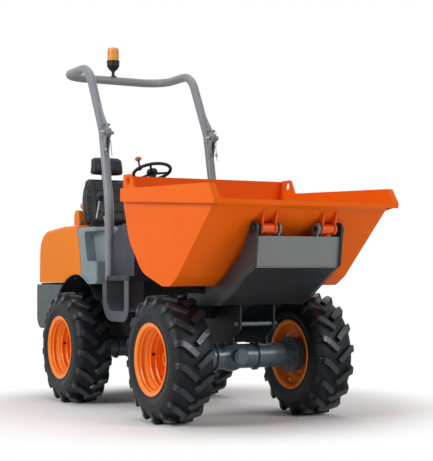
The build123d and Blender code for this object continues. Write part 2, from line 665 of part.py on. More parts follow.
STEP_REAR = -372
STEP_FRONT = 40
STEP_BOTTOM = 565
STEP_BAND = POST_X + TUBE_R + FIT_GAP - STEP_REAR     # width of the step's flat frame
STEP_FACE_Y = HOOP_Y + TUBE_R + 1
STEP_PLATE = 6
PLATFORM_FLANGE_Z = (830, 862)


def steps():
    """Left step: a flat frame, rounded below, with a bent tread inside it."""
    top = PLATFORM_FLANGE_Z[0] - FIT_GAP

    def pocket(inset, high, y):
        rear, front, low = STEP_REAR + inset, STEP_FRONT - inset, STEP_BOTTOM + inset
        return xz_plate([(rear, high), (rear, low), (front, low), (front, high)], y,
                        [0, 150 - inset, 100 - inset, 0])
    outer = STEP_FACE_Y + STEP_PLATE
    frame = pocket(0, top, (STEP_FACE_Y, outer)) - pocket(STEP_BAND, top + 10, (STEP_FACE_Y, outer))
    tread = pocket(STEP_BAND, top, (PANEL_INNER, outer))
    tread -= pocket(STEP_BAND + 5, top + 10, (PANEL_INNER - 5, outer + 5))
    return frame + tread


# ---- operator's place ---------------------------------------------------------------------
WHEEL_CENTRE = (-517, 1580)
WHEEL_TILT = 22
WHEEL_R = 130
WHEEL_HUB = 44


def steering_column():
    """Column shroud, tapering from the floor, and the tube up to the wheel."""
    shroud = loft([Pos(-235, 0, 850 + FIT_GAP) * Rectangle(230, 240),
                   Pos(-330, 0, 1190) * Rectangle(170, 190)])
    head = loft([Pos(-330, 0, 1190) * Rectangle(170, 190), Pos(-415, 0, 1330) * Rectangle(90, 110)])
    lean = radians(WHEEL_TILT)
    under_hub = WHEEL_HUB / 2 + FIT_GAP
    top = (WHEEL_CENTRE[0] + under_hub * sin(lean), 0, WHEEL_CENTRE[1] - under_hub * cos(lean))
    foot = (WHEEL_CENTRE[0] + 330 * sin(lean), 0, WHEEL_CENTRE[1] - 330 * cos(lean))
    return shroud + head + rod(foot, top, 22)


def steering_wheel():
    """Ring, three spokes, hub and the turning knob on the ring."""
    flat = Torus(WHEEL_R, 12) + Cylinder(34, WHEEL_HUB)
    for turn in (90, 210, 330):
        spoke = rod((30, 0, 0), (WHEEL_R, 0, 0), 8)
        flat += Rot(0, 0, turn) * spoke
    knob_turn = 295
    knob = Pos(WHEEL_R, 0, 34) * Cylinder(7, 60) + Pos(WHEEL_R, 0, 66) * Cylinder(22, 24)
    flat += Rot(0, 0, knob_turn) * knob
    return Pos(WHEEL_CENTRE[0], 0, WHEEL_CENTRE[1]) * Rot(0, -WHEEL_TILT, 0) * flat


def seat():
    """Cushion, backrest and headrest on their pan, on the engine cover."""
    floor = RECESS_Z + FIT_GAP
    pan = block((-1250, -790), (-200, 200), (floor, floor + 30))
    cushion = Pos(-1005, 0, floor + 30 + 52 + FIT_GAP) * Box(470, 450, 104)
    cushion = fillet(cushion.edges().filter_by(Axis.Z), 60)
    cushion = fillet(cushion.edges().group_by(Axis.Z)[-1], 28)
    back_z = floor + 30 + FIT_GAP + 104 + FIT_GAP
    back = xz_plate([(-1242, back_z), (-1188, back_z), (-1215, 1300), (-1250, 1592), (-1330, 1592),
                     (-1322, 1400), (-1285, floor + 240)], (-222, 222), [8, 8, 60, 35, 35, 60, 20])
    head = xz_plate([(-1262, 1612), (-1252, 1680), (-1270, 1748), (-1345, 1748), (-1352, 1612)],
                    (-140, 140), [20, 40, 30, 30, 20])
    stalk = block((-1318, -1290), (-40, 40), (1585, 1620))
    return [pan, cushion], [back + stalk + head]


# ---- roll-over hoop -----------------------------------------------------------------------
def post_x(z):
    """X of the post's leaning centre line at a height."""
    return POST_X - max(z - POST_BEND_Z, 0) * tan(radians(POST_LEAN))


def lean_unit():
    """Unit vector of the post's leaning part, in XZ."""
    return -sin(radians(POST_LEAN)), cos(radians(POST_LEAN))


def tube_along(path, radii, radius):
    """A round bar swept along straight runs joined by arcs."""
    line = FilletPolyline(*path, radius=radii)
    start = line @ 0
    return sweep(Plane(origin=start, z_dir=line % 0) * Circle(radius), path=line)


def rops_post():
    """Left post: straight, bent back once, with the two ears of the fold hinge."""
    foot = (POST_X, HOOP_Y, POST_FOOT_Z + 12)
    bend = (POST_X, HOOP_Y, POST_BEND_Z)
    top = (post_x(HOOP_CUT_Z), HOOP_Y, HOOP_CUT_Z)
    post = tube_along([foot, bend, top], [900], TUBE_R)
    post += block((POST_X - TUBE_R, POST_X + TUBE_R), (HOOP_Y - 55, HOOP_Y + TUBE_R),
                  (POST_FOOT_Z, POST_FOOT_Z + 12))
    face = TUBE_R * 0.6
    for y in (HOOP_Y - 18, HOOP_Y + 8):
        ear = xz_plate([(post_x(1655) + face, 1655), (HOOP_PIVOT[0] + 12, HOOP_PIVOT[1] - 29),
                        (HOOP_PIVOT[0] - 26, HOOP_PIVOT[1] - 19), (post_x(1772) + face, 1772)],
                       (y, y + 10))
        ear += cross_rod(*HOOP_PIVOT, HUB_LUG_R, (y, y + 10))
        post += ear
    post += cross_rod(*HOOP_PIVOT, 12, (HOOP_Y - 34, HOOP_Y + 34))
    post += cross_rod(*HOOP_PIVOT, 20, (HOOP_Y + 18, HOOP_Y + 34))
    return post


HINGE_GAP = 3


def rops_hoop():
    """Folding hoop: both legs, big bends, rear crossbar, gussets and hinge eyes, in one weldment."""
    ux, uz = lean_unit()
    start_z = HOOP_CUT_Z + HINGE_GAP * uz
    start = (post_x(HOOP_CUT_Z) + HINGE_GAP * ux, start_z)
    knee = (start[0] + 55 * ux, start[1] + 55 * uz)
    top_x = knee[0] - (HOOP_TOP_Z - knee[1]) * tan(radians(HOOP_LEAN))
    half = [(start[0], HOOP_Y, start[1]), (knee[0], HOOP_Y, knee[1]), (top_x, HOOP_Y, HOOP_TOP_Z),
            (HOOP_REAR_X, HOOP_Y, HOOP_TOP_Z)]
    path = half + [(x, -y, z) for x, y, z in reversed(half)]
    hoop = tube_along(path, [250, 200, 170, 170, 200, 250], TUBE_R)
    slope = tan(radians(HOOP_LEAN))
    web_top = 2065
    web = xz_plate([(HOOP_PIVOT[0] + HUB_LUG_R * 0.75, HOOP_PIVOT[1] + HUB_LUG_R * 0.6),
                    (knee[0] - (web_top - knee[1]) * slope + TUBE_R * 0.8, web_top),
                    (knee[0] - (1880 - knee[1]) * slope, 1880),
                    (knee[0], knee[1] + 5), (HOOP_PIVOT[0] - 10, HOOP_PIVOT[1] - 2)],
                   (HOOP_Y - 6, HOOP_Y + 6))
    web += cross_rod(*HOOP_PIVOT, HUB_LUG_R, (HOOP_Y - 6, HOOP_Y + 6))
    web += cross_rod(-404, 1876, 9, (HOOP_Y - 26, HOOP_Y + 26))
    web -= cross_rod(*HOOP_PIVOT, 12 + RUNNING_GAP, (HOOP_Y - 40, HOOP_Y + 40))
    return hoop + web + mirrored(web)


def beacon():
    """Stem and black base, then the lens, on the crossbar."""
    x, z = HOOP_REAR_X, HOOP_TOP_Z + TUBE_R
    base = rod((x, 0, z - 4), (x, 0, z + 58), 12)
    saddle = block((x - 22, x + 22), (-18, 18), (z - 12, z + 4))
    saddle -= cross_rod(x, HOOP_TOP_Z, TUBE_R + FIT_GAP, (-60, 60))
    body = Pos(x, 0, z + 52) * Cone(30, 46, 26, align=(Align.CENTER, Align.CENTER, Align.MIN))
    body += Pos(x, 0, z + 78) * Cylinder(46, 34, align=(Align.CENTER, Align.CENTER, Align.MIN))
    lens = Pos(x, 0, z + 112) * Cylinder(44, 105, align=(Align.CENTER, Align.CENTER, Align.MIN))
    lens = fillet(lens.edges().group_by(Axis.Z)[-1], 16)
    base -= cross_rod(x, HOOP_TOP_Z, TUBE_R + FIT_GAP, (-60, 60))
    return base + saddle + body, lens


def control_levers():
    """Travel lever with its bellows and a short lock lever, on the right-hand side panel."""
    x, y, z = -640, -365, 1190 + FIT_GAP
    boot = Pos(x, y, z) * Cone(60, 26, 62, align=(Align.CENTER, Align.CENTER, Align.MIN))
    stick = rod((x, y, z + 40), (x + 34, y + 10, z + 190), 7)
    knob = Pos(x + 38, y + 12, z + 212) * Sphere(27)
    short = rod((x - 5, y + 70, z + 3), (x - 10, y + 62, z + 95), 6) + rod((x - 5, y + 70, z), (x - 5, y + 70, z + 8), 16)
    short += Pos(x - 10, y + 62, z + 105) * Box(30, 26, 40)
    return boot + stick + knob, short


# ---- steering cylinder --------------------------------------------------------------------
STEER_BASE = (-262, -190)           # X, Y
STEER_EYE = (150, -168)
STEER_Z = 600
STEER_BARREL_R = 28
STEER_ROD_R = 12
STEER_EYE_R = 22
STEER_PIN_R = 10
STEER_BARREL_LENGTH = 262
STEER_BORE_FROM = 42
STEER_STROKE = 201


def steer_span(start, end, radius):
    """A round bar on the steering cylinder's line between two distances from its base pin."""
    (bx, by), (ex, ey) = STEER_BASE, STEER_EYE
    length = hypot(ex - bx, ey - by)
    ux, uy = (ex - bx) / length, (ey - by) / length
    return rod((bx + ux * start, by + uy * start, STEER_Z), (bx + ux * end, by + uy * end, STEER_Z),
               radius)


def upright(x, y, radius, half):
    """A vertical bar centred on the steering cylinder's height."""
    return rod((x, y, STEER_Z - half), (x, y, STEER_Z + half), radius)


def steering_barrel():
    """Barrel with its base eye and gland."""
    barrel = upright(*STEER_BASE, STEER_EYE_R, 13) + steer_span(30, STEER_BARREL_LENGTH, STEER_BARREL_R)
    barrel += steer_span(15, 40, 14)
    barrel += steer_span(STEER_BARREL_LENGTH - 30, STEER_BARREL_LENGTH + 6, STEER_BARREL_R + 3)
    barrel -= steer_span(STEER_BORE_FROM, STEER_BARREL_LENGTH + 20, STEER_ROD_R + RUNNING_GAP)
    return barrel - upright(*STEER_BASE, STEER_PIN_R + RUNNING_GAP, 40)


def steering_rod():
    """Rod with its eye, free between the lugs on the front chassis."""
    reach = hypot(STEER_EYE[0] - STEER_BASE[0], STEER_EYE[1] - STEER_BASE[1])
    return steer_span(STEER_BORE_FROM + STEER_STROKE / 2 + 5, reach, STEER_ROD_R) + upright(*STEER_EYE, STEER_EYE_R, 11)


def steer_lugs(centre, foot):
    """Two flat lugs above and below an eye, spreading to a foot of two points in XY."""
    (cx, cy), (a, b) = centre, foot
    lugs = []
    for low in (STEER_Z - 26, STEER_Z + 16):
        web = xy_plate([(cx, cy + 20), (cx, cy - 20), a, b], (low, low + 10))
        lugs.append(web + rod((cx, cy, low), (cx, cy, low + 10), STEER_EYE_R))
    return lugs[0] + lugs[1]


# ---- the machine --------------------------------------------------------------------------
def build():
    """Write every sub-part."""
    os.makedirs("parts", exist_ok=True)
    wheels()
    save("front_axle", axle(FRONT_AXLE_X, 1))
    save("rear_axle", axle(REAR_AXLE_X, 1))
    save("skip_floor", skip_floor())
    side = skip_side()
    save("skip_side_left", side)
    save("skip_side_right", mirrored(side))
    save("skip_lip", skip_lip())
    save("skip_brackets", *skip_brackets())
    save("tipping_barrel", tipping_barrel())
    save("tipping_rod", tipping_rod())
    save("front_chassis", front_chassis())
    arm = tower_arm()
    save("tower_arm_left", arm)
    save("tower_arm_right", mirrored(arm))
    save("tower_face", tower_face())
    save("tower_belly", tower_belly())
    save("pivot_pins", *pair(pivot_pins()))
    save("rear_chassis", rear_chassis())
    save("counterweight", counterweight())
    save("engine_block", block((-1150, -740), (-200, 200), (550 + FIT_GAP, 1000)))
    panel = side_panel()
    save("side_panel_left", panel)
    save("side_panel_right", mirrored(panel))
    save("fender_liners", *pair(fender_liner()))
    save("engine_cover", engine_cover() + cover_hinge() + mirrored(cover_hinge()))
    save("platform", platform())
    save("console", console())
    save("steps", *pair(steps()))
    save("steering_column", steering_column())
    save("steering_wheel", steering_wheel())
    cushion, back = seat()
    save("seat_cushion", *cushion)
    save("seat_back", *back)
    save("rops_posts", *pair(rops_post()))
    save("rops_hoop", rops_hoop())
    base, lens = beacon()
    save("beacon_base", base)
    save("beacon_lens", lens)
    save("control_levers", *control_levers())
    save("marker_lamp", marker_lamp())
    save("steering_barrel", steering_barrel())
    save("steering_rod", steering_rod())


build()
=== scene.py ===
import bpy, bmesh
from math import cos, exp, hypot, pi, radians, sin, sqrt
from mathutils import Matrix, Vector


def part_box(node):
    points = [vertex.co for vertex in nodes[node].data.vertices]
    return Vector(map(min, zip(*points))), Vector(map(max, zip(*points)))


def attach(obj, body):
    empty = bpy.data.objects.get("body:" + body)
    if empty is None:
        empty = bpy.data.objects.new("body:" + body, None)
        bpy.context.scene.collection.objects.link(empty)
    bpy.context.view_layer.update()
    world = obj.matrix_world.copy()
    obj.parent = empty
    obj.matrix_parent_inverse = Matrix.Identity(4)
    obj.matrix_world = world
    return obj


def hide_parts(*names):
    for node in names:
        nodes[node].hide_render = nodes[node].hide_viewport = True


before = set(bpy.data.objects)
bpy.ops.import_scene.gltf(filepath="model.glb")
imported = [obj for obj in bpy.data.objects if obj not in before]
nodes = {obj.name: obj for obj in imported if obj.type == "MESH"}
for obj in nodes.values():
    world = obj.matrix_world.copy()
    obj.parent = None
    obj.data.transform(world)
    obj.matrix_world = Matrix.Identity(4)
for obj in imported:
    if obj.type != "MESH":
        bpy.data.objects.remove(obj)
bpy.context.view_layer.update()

# ---- Camera, light and floor ---------------------------------------------------------------
# The dumper stands on a pale studio floor. The camera is low, off its right front corner, with
# a long lens; a large soft lamp stands off its right side, and weaker ones in front and above.
CAMERA_AT = (7.1129, -3.6938, 0.8660)
CAMERA_YAW, CAMERA_PITCH, CAMERA_ROLL = 151.154, 2.0695, -0.207
FOCAL_IN_HEIGHTS = 1223.6 / 461
FLOOR_HALF = 60.0

camera_data = bpy.data.cameras.new("camera")
camera = bpy.data.objects.new("camera", camera_data)
bpy.context.scene.collection.objects.link(camera)
camera_data.sensor_width = 36.0
camera_data.lens = FOCAL_IN_HEIGHTS * camera_data.sensor_width
camera_data.clip_end = 300.0
yaw, pitch = radians(CAMERA_YAW), radians(CAMERA_PITCH)
looking = Vector((cos(yaw) * cos(pitch), sin(yaw) * cos(pitch), sin(pitch)))
turn = looking.to_track_quat("-Z", "Y").to_matrix().to_4x4()
camera.matrix_world = Matrix.Translation(CAMERA_AT) @ turn @ Matrix.Rotation(radians(CAMERA_ROLL), 4, "Z")
bpy.context.scene.camera = camera
bpy.context.scene.view_settings.view_transform = "Standard"


def soft_lamp(name, at, aim, size, power):
    """A large square lamp that points at a place on the machine."""
    lamp = bpy.data.lights.new(name, "AREA")
    lamp.shape, lamp.size, lamp.energy = "SQUARE", size, power
    holder = bpy.data.objects.new(name, lamp)
    bpy.context.scene.collection.objects.link(holder)
    direction = Vector(aim) - Vector(at)
    holder.matrix_world = Matrix.Translation(at) @ direction.to_track_quat("-Z", "Y").to_matrix().to_4x4()


soft_lamp("lamp_right", (0.6, -7.2, 4.3), (0.0, 0.0, 0.8), 3.5, 335.0)
soft_lamp("lamp_front", (6.5, 2.6, 3.4), (0.3, 0.0, 0.6), 2.6, 150.0)
soft_lamp("lamp_over", (-0.5, 0.0, 8.0), (0.0, 0.0, 0.0), 6.0, 215.0)


def connect(tree, made, inputs):
    """Give a node's inputs their values: a number, a colour or another node's output."""
    for key, value in inputs.items():
        if isinstance(value, bpy.types.NodeSocket):
            tree.links.new(value, made.inputs[key])
        else:
            made.inputs[key].default_value = value


def node(tree, kind, inputs, **settings):
    """A new shader node with its settings and its inputs."""
    made = tree.nodes.new(kind)
    for key, value in settings.items():
        setattr(made, key, value)
    connect(tree, made, inputs)
    return made


# the studio is white where it is seen, mirrored or looked at through glass, and dim as a light
SKY_FILL = 0.25
world = bpy.data.worlds.new("studio")
bpy.context.scene.world = world
world.use_nodes = True
sky = world.node_tree
sky.nodes.clear()
rays = node(sky, "ShaderNodeLightPath", {}).outputs
seen = node(sky, "ShaderNodeMath", {0: rays["Is Camera Ray"], 1: rays["Is Glossy Ray"]}, operation="MAXIMUM")
seen_too = node(sky, "ShaderNodeMath", {0: seen.outputs[0], 1: rays["Is Transmission Ray"]}, operation="MAXIMUM")
white = node(sky, "ShaderNodeBackground", {"Color": (1, 1, 1, 1), "Strength": 1.0})
fill = node(sky, "ShaderNodeBackground", {"Color": (0.97, 0.985, 1, 1), "Strength": SKY_FILL})
choose = node(sky, "ShaderNodeMixShader", {0: seen_too.outputs[0], 1: fill.outputs[0], 2: white.outputs[0]})
node(sky, "ShaderNodeOutputWorld", {"Surface": choose.outputs[0]})

FLOOR_WHITE = 0.96
FADE_FROM, FADE_TO = 1.15, 2.0
floor_mesh = bpy.data.meshes.new("floor")
floor_mesh.from_pydata([(-FLOOR_HALF, -FLOOR_HALF, 0), (FLOOR_HALF, -FLOOR_HALF, 0),
                        (FLOOR_HALF, FLOOR_HALF, 0), (-FLOOR_HALF, FLOOR_HALF, 0)], [], [(0, 1, 2, 3)])
floor = bpy.data.objects.new("floor", floor_mesh)
bpy.context.scene.collection.objects.link(floor)
floor_paint = bpy.data.materials.new("floor_white")
floor_paint.use_nodes = True
floor_tree = floor_paint.node_tree
floor_shader = floor_tree.nodes["Principled BSDF"]
connect(floor_tree, floor_shader, {"Base Color": (FLOOR_WHITE, FLOOR_WHITE, FLOOR_WHITE, 1), "Roughness": 0.9,
                                   "Specular IOR Level": 0.0})
# away from the machine the floor turns into the white of the studio's back wall
floor_place = node(floor_tree, "ShaderNodeTexCoord", {})
floor_far = node(floor_tree, "ShaderNodeVectorMath", {0: floor_place.outputs["Object"]}, operation="LENGTH")
floor_share = node(floor_tree, "ShaderNodeMapRange",
                   {"From Min": FADE_FROM, "From Max": FADE_TO, "Value": floor_far.outputs["Value"]},
                   interpolation_type="SMOOTHSTEP")
floor_rays = node(floor_tree, "ShaderNodeLightPath", {})
floor_seen = node(floor_tree, "ShaderNodeMath", {0: floor_share.outputs[0], 1: floor_rays.outputs["Is Camera Ray"]},
                  operation="MULTIPLY")
floor_light = node(floor_tree, "ShaderNodeEmission", {})
floor_mix = node(floor_tree, "ShaderNodeMixShader", {0: floor_seen.outputs[0], 1: floor_shader.outputs[0],
                                                     2: floor_light.outputs[0]})
connect(floor_tree, floor_tree.nodes["Material Output"], {"Surface": floor_mix.outputs[0]})
floor_mesh.materials.append(floor_paint)

# ---- Tyres ---------------------------------------------------------------------------------
# Traction tyres of black rubber, moulded in one: a round carcass with bead ribs on its walls
# and 17 pairs of bent lugs, the two sides half a pitch apart, noses forward on top.
CORNERS = ("front_left", "front_right", "rear_left", "rear_right")
LUG_PAIRS = 17
TYRE_R = 374.8
# Rubber is polished by wear, and painted lighter and bluer as a painted highlight, past the crown's radius, and past
# the shoulder's radius on its side
WORN_LIT_CROWN, WORN_LIT_SHOULDER, WORN_LIT_SIDE = 364, 330, 112
RUBBER_BLACK = (0.0055, 0.0070, 0.0090)
# Wall of one side from bead to crown: radius, distance from the middle plane
WALL = ((195.2, 108), (195.6, 114), (201, 117.8), (213, 120.2), (219, 123.5), (223, 124.2), (226, 122.8),
        (240, 126.5), (256, 129.2), (262, 130.9), (266, 130.7), (269, 129.6), (285, 130.2), (298, 128.6),
        (312, 122.5), (326, 114.5), (338, 104), (344, 92), (346, 70), (347, 35), (347.3, 0))
# Outline of a lug's back from the crown down the shoulder: radius, distance from the middle plane
SHOULDER = ((TYRE_R, 96), (373.6, 102), (369.5, 106), (345, 116.5), (322, 125), (304, 131.2))
SHOULDER_FOOT = ((346, 90), (344, 92), (339, 103), (326, 114.5), (312, 122.5), (302, 127.5))
# A lug's middle line: ahead of its root, along its back from the middle plane, width
LUG_LINE = ((64, 3, 33), (38, 32, 35), (12, 60, 37), (-4, 80, 38), (-11, 96, 39), (-14, 106, 40), (-15, 130, 40),
            (-15, 156, 41), (-15, 181, 43))


def surface(name, colour, rough, tone=0.06, tone_scale=3.0, peel=0.02, peel_scale=220.0,
            metal=0.0, coat=0.0, edge=0.0015, dust=0.0, dust_top=0.5, dust_colour=(0.30, 0.265, 0.22),
            second=0.0, second_scale=40.0, shine=0.25):
    """A finish with a slow change of tone, a fine grain, broken edges and dust near the ground."""
    made = bpy.data.materials.new(name)
    made.use_nodes = True
    tree = made.node_tree
    shader = tree.nodes["Principled BSDF"]
    place = node(tree, "ShaderNodeTexCoord", {}).outputs["Object"]

    def noise(scale, detail):
        return node(tree, "ShaderNodeTexNoise", {"Scale": scale, "Detail": detail, "Vector": place}).outputs["Fac"]

    darker = (*[c * (1 - tone) for c in colour], 1)
    lighter = (*[min(c * (1 + tone), 1) for c in colour], 1)
    colour_out = node(tree, "ShaderNodeMix", {0: noise(tone_scale, 5.0), 6: darker, 7: lighter},
                      data_type="RGBA").outputs[2]
    gloss = node(tree, "ShaderNodeMapRange", {"From Min": 0.3, "From Max": 0.7, "To Min": rough * 0.88,
                                              "To Max": min(rough * 1.14, 1.0), "Value": noise(tone_scale * 3.1, 6.0)})
    if dust:
        height = node(tree, "ShaderNodeSeparateXYZ", {0: place}).outputs["Z"]
        low = node(tree, "ShaderNodeMapRange", {"From Min": dust_top, "From Max": 0.0, "Value": height})
        amount = node(tree, "ShaderNodeMath", {0: low.outputs[0], 1: noise(14.0, 8.0)}, operation="MULTIPLY")
        share = node(tree, "ShaderNodeMath", {0: amount.outputs[0], 1: dust}, operation="MULTIPLY")
        colour_out = node(tree, "ShaderNodeMix", {0: share.outputs[0], 6: colour_out, 7: (*dust_colour, 1)},
                          data_type="RGBA").outputs[2]
    grain = node(tree, "ShaderNodeBump", {"Strength": peel, "Distance": 0.002, "Height": noise(peel_scale, 3.0)})
    if edge:
        broken = node(tree, "ShaderNodeBevel", {"Radius": edge}, samples=4)
        connect(tree, grain, {"Normal": broken.outputs[0]})
    last = grain.outputs[0]
    if second:
        last = node(tree, "ShaderNodeBump", {"Strength": second, "Distance": 0.01, "Height": noise(second_scale, 2.0),
                                             "Normal": last}).outputs[0]
    connect(tree, shader, {"Base Color": colour_out, "Roughness": gloss.outputs[0], "Metallic": metal, "Normal": last,
                           "Coat Weight": coat, "Coat Roughness": 0.10, "Specular IOR Level": shine})
    return made


def turns(count):
    """Equal steps of angle round a full turn."""
    return [2 * pi * k / count for k in range(count)]


def turned(profile, steps, closed=False):
    """A profile of (radius, y) carried round the wheel's own axis."""
    vertices, faces, count = [], [], len(profile)
    for angle in turns(steps):
        vertices += [(r * sin(angle), y, r * cos(angle)) for r, y in profile]
    for step in range(steps):
        here, there = step * count, (step + 1) % steps * count
        for i in range(count if closed else count - 1):
            j = (i + 1) % count
            faces.append((here + i, here + j, there + j, there + i))
    return vertices, faces


def together(forms):
    """Several meshes as one list of vertices and faces."""
    vertices, faces = [], []
    for more, sides in forms:
        start = len(vertices)
        vertices += more
        faces += [tuple(start + i for i in side) for side in sides]
    return vertices, faces


def moved(form, matrix):
    """The same mesh in another place."""
    return [tuple(matrix @ Vector(v)) for v in form[0]], form[1]


def piece(name, form, finish, body, smooth=35.0, place=None):
    """A mesh in millimetres, or a list of meshes, is put in its place and rides on a body."""
    form = together(form) if isinstance(form, list) else form
    vertices, faces = moved(form, place) if place else form
    mesh = bpy.data.meshes.new(name)
    mesh.from_pydata([(x / 1000, y / 1000, z / 1000) for x, y, z in vertices], [], faces)
    mesh.validate()
    right_way = bmesh.new()
    right_way.from_mesh(mesh)
    bmesh.ops.recalc_face_normals(right_way, faces=right_way.faces)
    right_way.to_mesh(mesh)
    right_way.free()
    mesh.polygons.foreach_set("use_smooth", [True] * len(mesh.polygons))
    mesh.set_sharp_from_angle(angle=radians(smooth))
    mesh.materials.append(finish)
    made = bpy.data.objects.new(name, mesh)
    bpy.context.scene.collection.objects.link(made)
    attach(made, body)
    return made


def corners_of(name):
    """The low and high corners of a CAD node's box, in millimetres."""
    return [Vector(corner) * 1000 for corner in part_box(name)]


def centre_of(name):
    """The middle of a CAD node's box, in millimetres."""
    return sum(corners_of(name), Vector()) / 2


def along(outline, reach):
    """Where a lug's back or foot is: straight to the shoulder, then down its outline."""
    flat = outline[0][1]
    if reach <= flat:
        return outline[0][0], reach
    left = reach - flat
    for (r0, y0), (r1, y1) in zip(outline, outline[1:]):
        run = hypot(r1 - r0, y1 - y0)
        if left <= run or (r1, y1) == outline[-1]:
            share = min(left / run, 1.0)
            return r0 + (r1 - r0) * share, y0 + (y1 - y0) * share
        left -= run


def lug(side, angle):
    """One bent lug with chamfered edges and a flared foot."""
    # across the lug: share of half its width, share of its height
    half_section = ((1.34, 0.0), (1.10, 0.42), (1.0, 0.90), (0.90, 1.0))
    section = half_section + tuple((-out, up) for out, up in half_section[::-1])
    vertices, faces = [], []
    for i, (ahead, reach, width) in enumerate(LUG_LINE):
        before, after = LUG_LINE[max(i - 1, 0)], LUG_LINE[min(i + 1, len(LUG_LINE) - 1)]
        run = Vector((after[0] - before[0], after[1] - before[1])).normalized()
        for out, up in section:
            a = ahead + run.y * out * width / 2
            t = reach - run.x * out * width / 2
            top, foot = along(SHOULDER, t), along(SHOULDER_FOOT, t * 0.985)
            r, y = (foot[k] + (top[k] - foot[k]) * up for k in (0, 1))
            turn = angle + a / TYRE_R
            sink = 1.5 if up == 0 else 0.0
            vertices.append(((r - sink) * sin(turn), side * y, (r - sink) * cos(turn)))
    n = len(section)
    for i in range(len(LUG_LINE) - 1):
        faces += [(i * n + j, i * n + j + 1, (i + 1) * n + j + 1, (i + 1) * n + j) for j in range(n - 1)]
    last = (len(LUG_LINE) - 1) * n
    faces += [tuple(range(n)), tuple(range(last, last + n))]
    return vertices, faces


rubber = surface("tyre_rubber", RUBBER_BLACK, 0.46, tone=0.30, shine=0.22, tone_scale=9.0, peel=0.10, peel_scale=420.0,
                 edge=0.003, dust=0.10, dust_top=0.42, dust_colour=(0.17, 0.16, 0.145), second=0.12, second_scale=55.0)
# lug backs: higher shine from wear, and a lighter, bluer colour that is a painted highlight
worn_and_highlit_rubber = surface("lug_rubber", (0.0100, 0.0135, 0.0170), 0.32, tone=0.40, tone_scale=12.0, shine=0.55, peel=0.16,
                      peel_scale=260.0, edge=0.002, dust=0.08, dust_top=0.3, dust_colour=(0.17, 0.16, 0.145),
                      second=0.25, second_scale=30.0)
whole_wall = [(r, -y) for r, y in WALL] + [(r, y) for r, y in WALL[-2::-1]]
tyre_forms = [turned(whole_wall, 17 * 8, closed=True)]
for lug_side, lug_start in ((-1, 0.0), (1, 0.5)):
    for step in range(LUG_PAIRS):
        tyre_forms.append(lug(lug_side, pi + (lug_start + step) * 2 * pi / LUG_PAIRS))
for corner in CORNERS:
    place = Matrix.Translation(centre_of("tyre_" + corner))
    made = piece("tyre_carcass_" + corner, tyre_forms, rubber, "wheel_" + corner, 38.0, place)
    # the lugs' backs are polished by wear, and their colour is a painted highlight, lighter and bluer than the carcass
    made.data.materials.append(worn_and_highlit_rubber)
    for face in made.data.polygons:
        off = face.center * 1000 - place.translation
        from_axis = hypot(off.x, off.z)
        worn_lit = from_axis > WORN_LIT_CROWN or (abs(off.y) > WORN_LIT_SIDE and from_axis > WORN_LIT_SHOULDER)
        face.material_index = 1 if worn_lit else 0
    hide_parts("tyre_" + corner)

# ---- Rims ----------------------------------------------------------------------------------
# Rolled steel rims, sprayed orange: a curled flange, bead seat and well pressed in steps, the
# dished disc welded deep inside, a valve through the barrel, and a hub with its wheel nuts.
RIM_ORANGE = (1.0, 0.235, 0.010)
# Barrel in section: radius, distance outward from the middle plane
BARREL_INSIDE = ((214.2, 123.8), (213, 126.6), (209, 127.6), (204, 126.2), (198, 123.6), (191.5, 121.4),
                 (188, 117), (187.5, 110), (187.5, 102), (181.5, 97), (181.5, 91), (187.5, 86), (187.5, 78),
                 (184, 71), (177, 63), (173.5, 58), (173, 46), (166.5, 40), (166.5, 34), (173, 28),
                 (173, 10), (166.5, 4), (166.5, -2), (173, -8), (173, -58), (177, -64), (184, -72), (187.5, -79),
                 (187.5, -117), (191.5, -121.4), (198, -123.6), (204, -126.2), (209, -127.6), (213, -126.6),
                 (214.2, -123.8))
BARREL_OUTSIDE = ((207, -121.4), (200, -119.8), (195, -117.8), (193.6, -112), (193.6, -74), (190, -69), (182, -61),
                  (179.5, -56), (179.5, 56), (182, 61), (190, 69), (193.6, 74), (193.6, 112), (195, 117.8),
                  (200, 119.8), (207, 121.4))
DISC = ((174, -56), (158, -55), (149, -54), (140, -48), (128, -36), (119, -32.5), (52, -32.5), (52, -40),
        (117, -40), (126, -44), (138, -56), (150, -63), (174, -64))
HUB = ((31, -38), (58, -36), (60, -33), (60, 6), (57, 10), (46, 18), (44, 21), (31, 22))
NUTS, NUT_CIRCLE = 5, 84
VALVE_TURN = radians(-84)


def skin(rings, sides):
    """Faces over rings of points, with a cap on each end."""
    faces = [(sides * i + k, sides * i + (k + 1) % sides, sides * (i + 1) + (k + 1) % sides, sides * (i + 1) + k)
             for i in range(rings - 1) for k in range(sides)]
    return faces + [tuple(range(sides - 1, -1, -1)), tuple(range((rings - 1) * sides, rings * sides))]


def round_rings(rings, sides):
    """Points on circles about z, each ring with its radius and its height."""
    return [(q * cos(a), q * sin(a), h) for q, h in rings for a in turns(sides)]


def hexagon(across, height, centre, axis, washer=True):
    """A hexagon head with a chamfered crown on a round washer."""
    r = across / 2 / cos(pi / 6)
    forms = [(round_rings(((r, 0), (r, height * 0.8), (r * 0.84, height)), 6), skin(3, 6))]
    if washer:
        rim, thick = across * 0.68, max(across * 0.09, 1.2)
        forms.append((round_rings(((rim, -0.5), (rim, thick * 0.7), (rim * 0.94, thick)), 20), skin(3, 20)))
    stand = Matrix.Translation(centre) @ Vector(axis).to_track_quat("Z", "Y").to_matrix().to_4x4()
    return moved(together(forms), stand)


def bar(start, end, radius, sides=16, end_radius=None):
    """A round bar with broken edges between two points."""
    start, end = Vector(start), Vector(end)
    length, tip = (end - start).length, end_radius or radius
    cut = min(radius, tip, length) * 0.12
    rings = ((radius - cut, 0), (radius, cut), (tip, length - cut), (tip - cut, length))
    stand = Matrix.Translation(start) @ (end - start).to_track_quat("Z", "Y").to_matrix().to_4x4()
    return moved((round_rings(rings, sides), skin(4, sides)), stand)


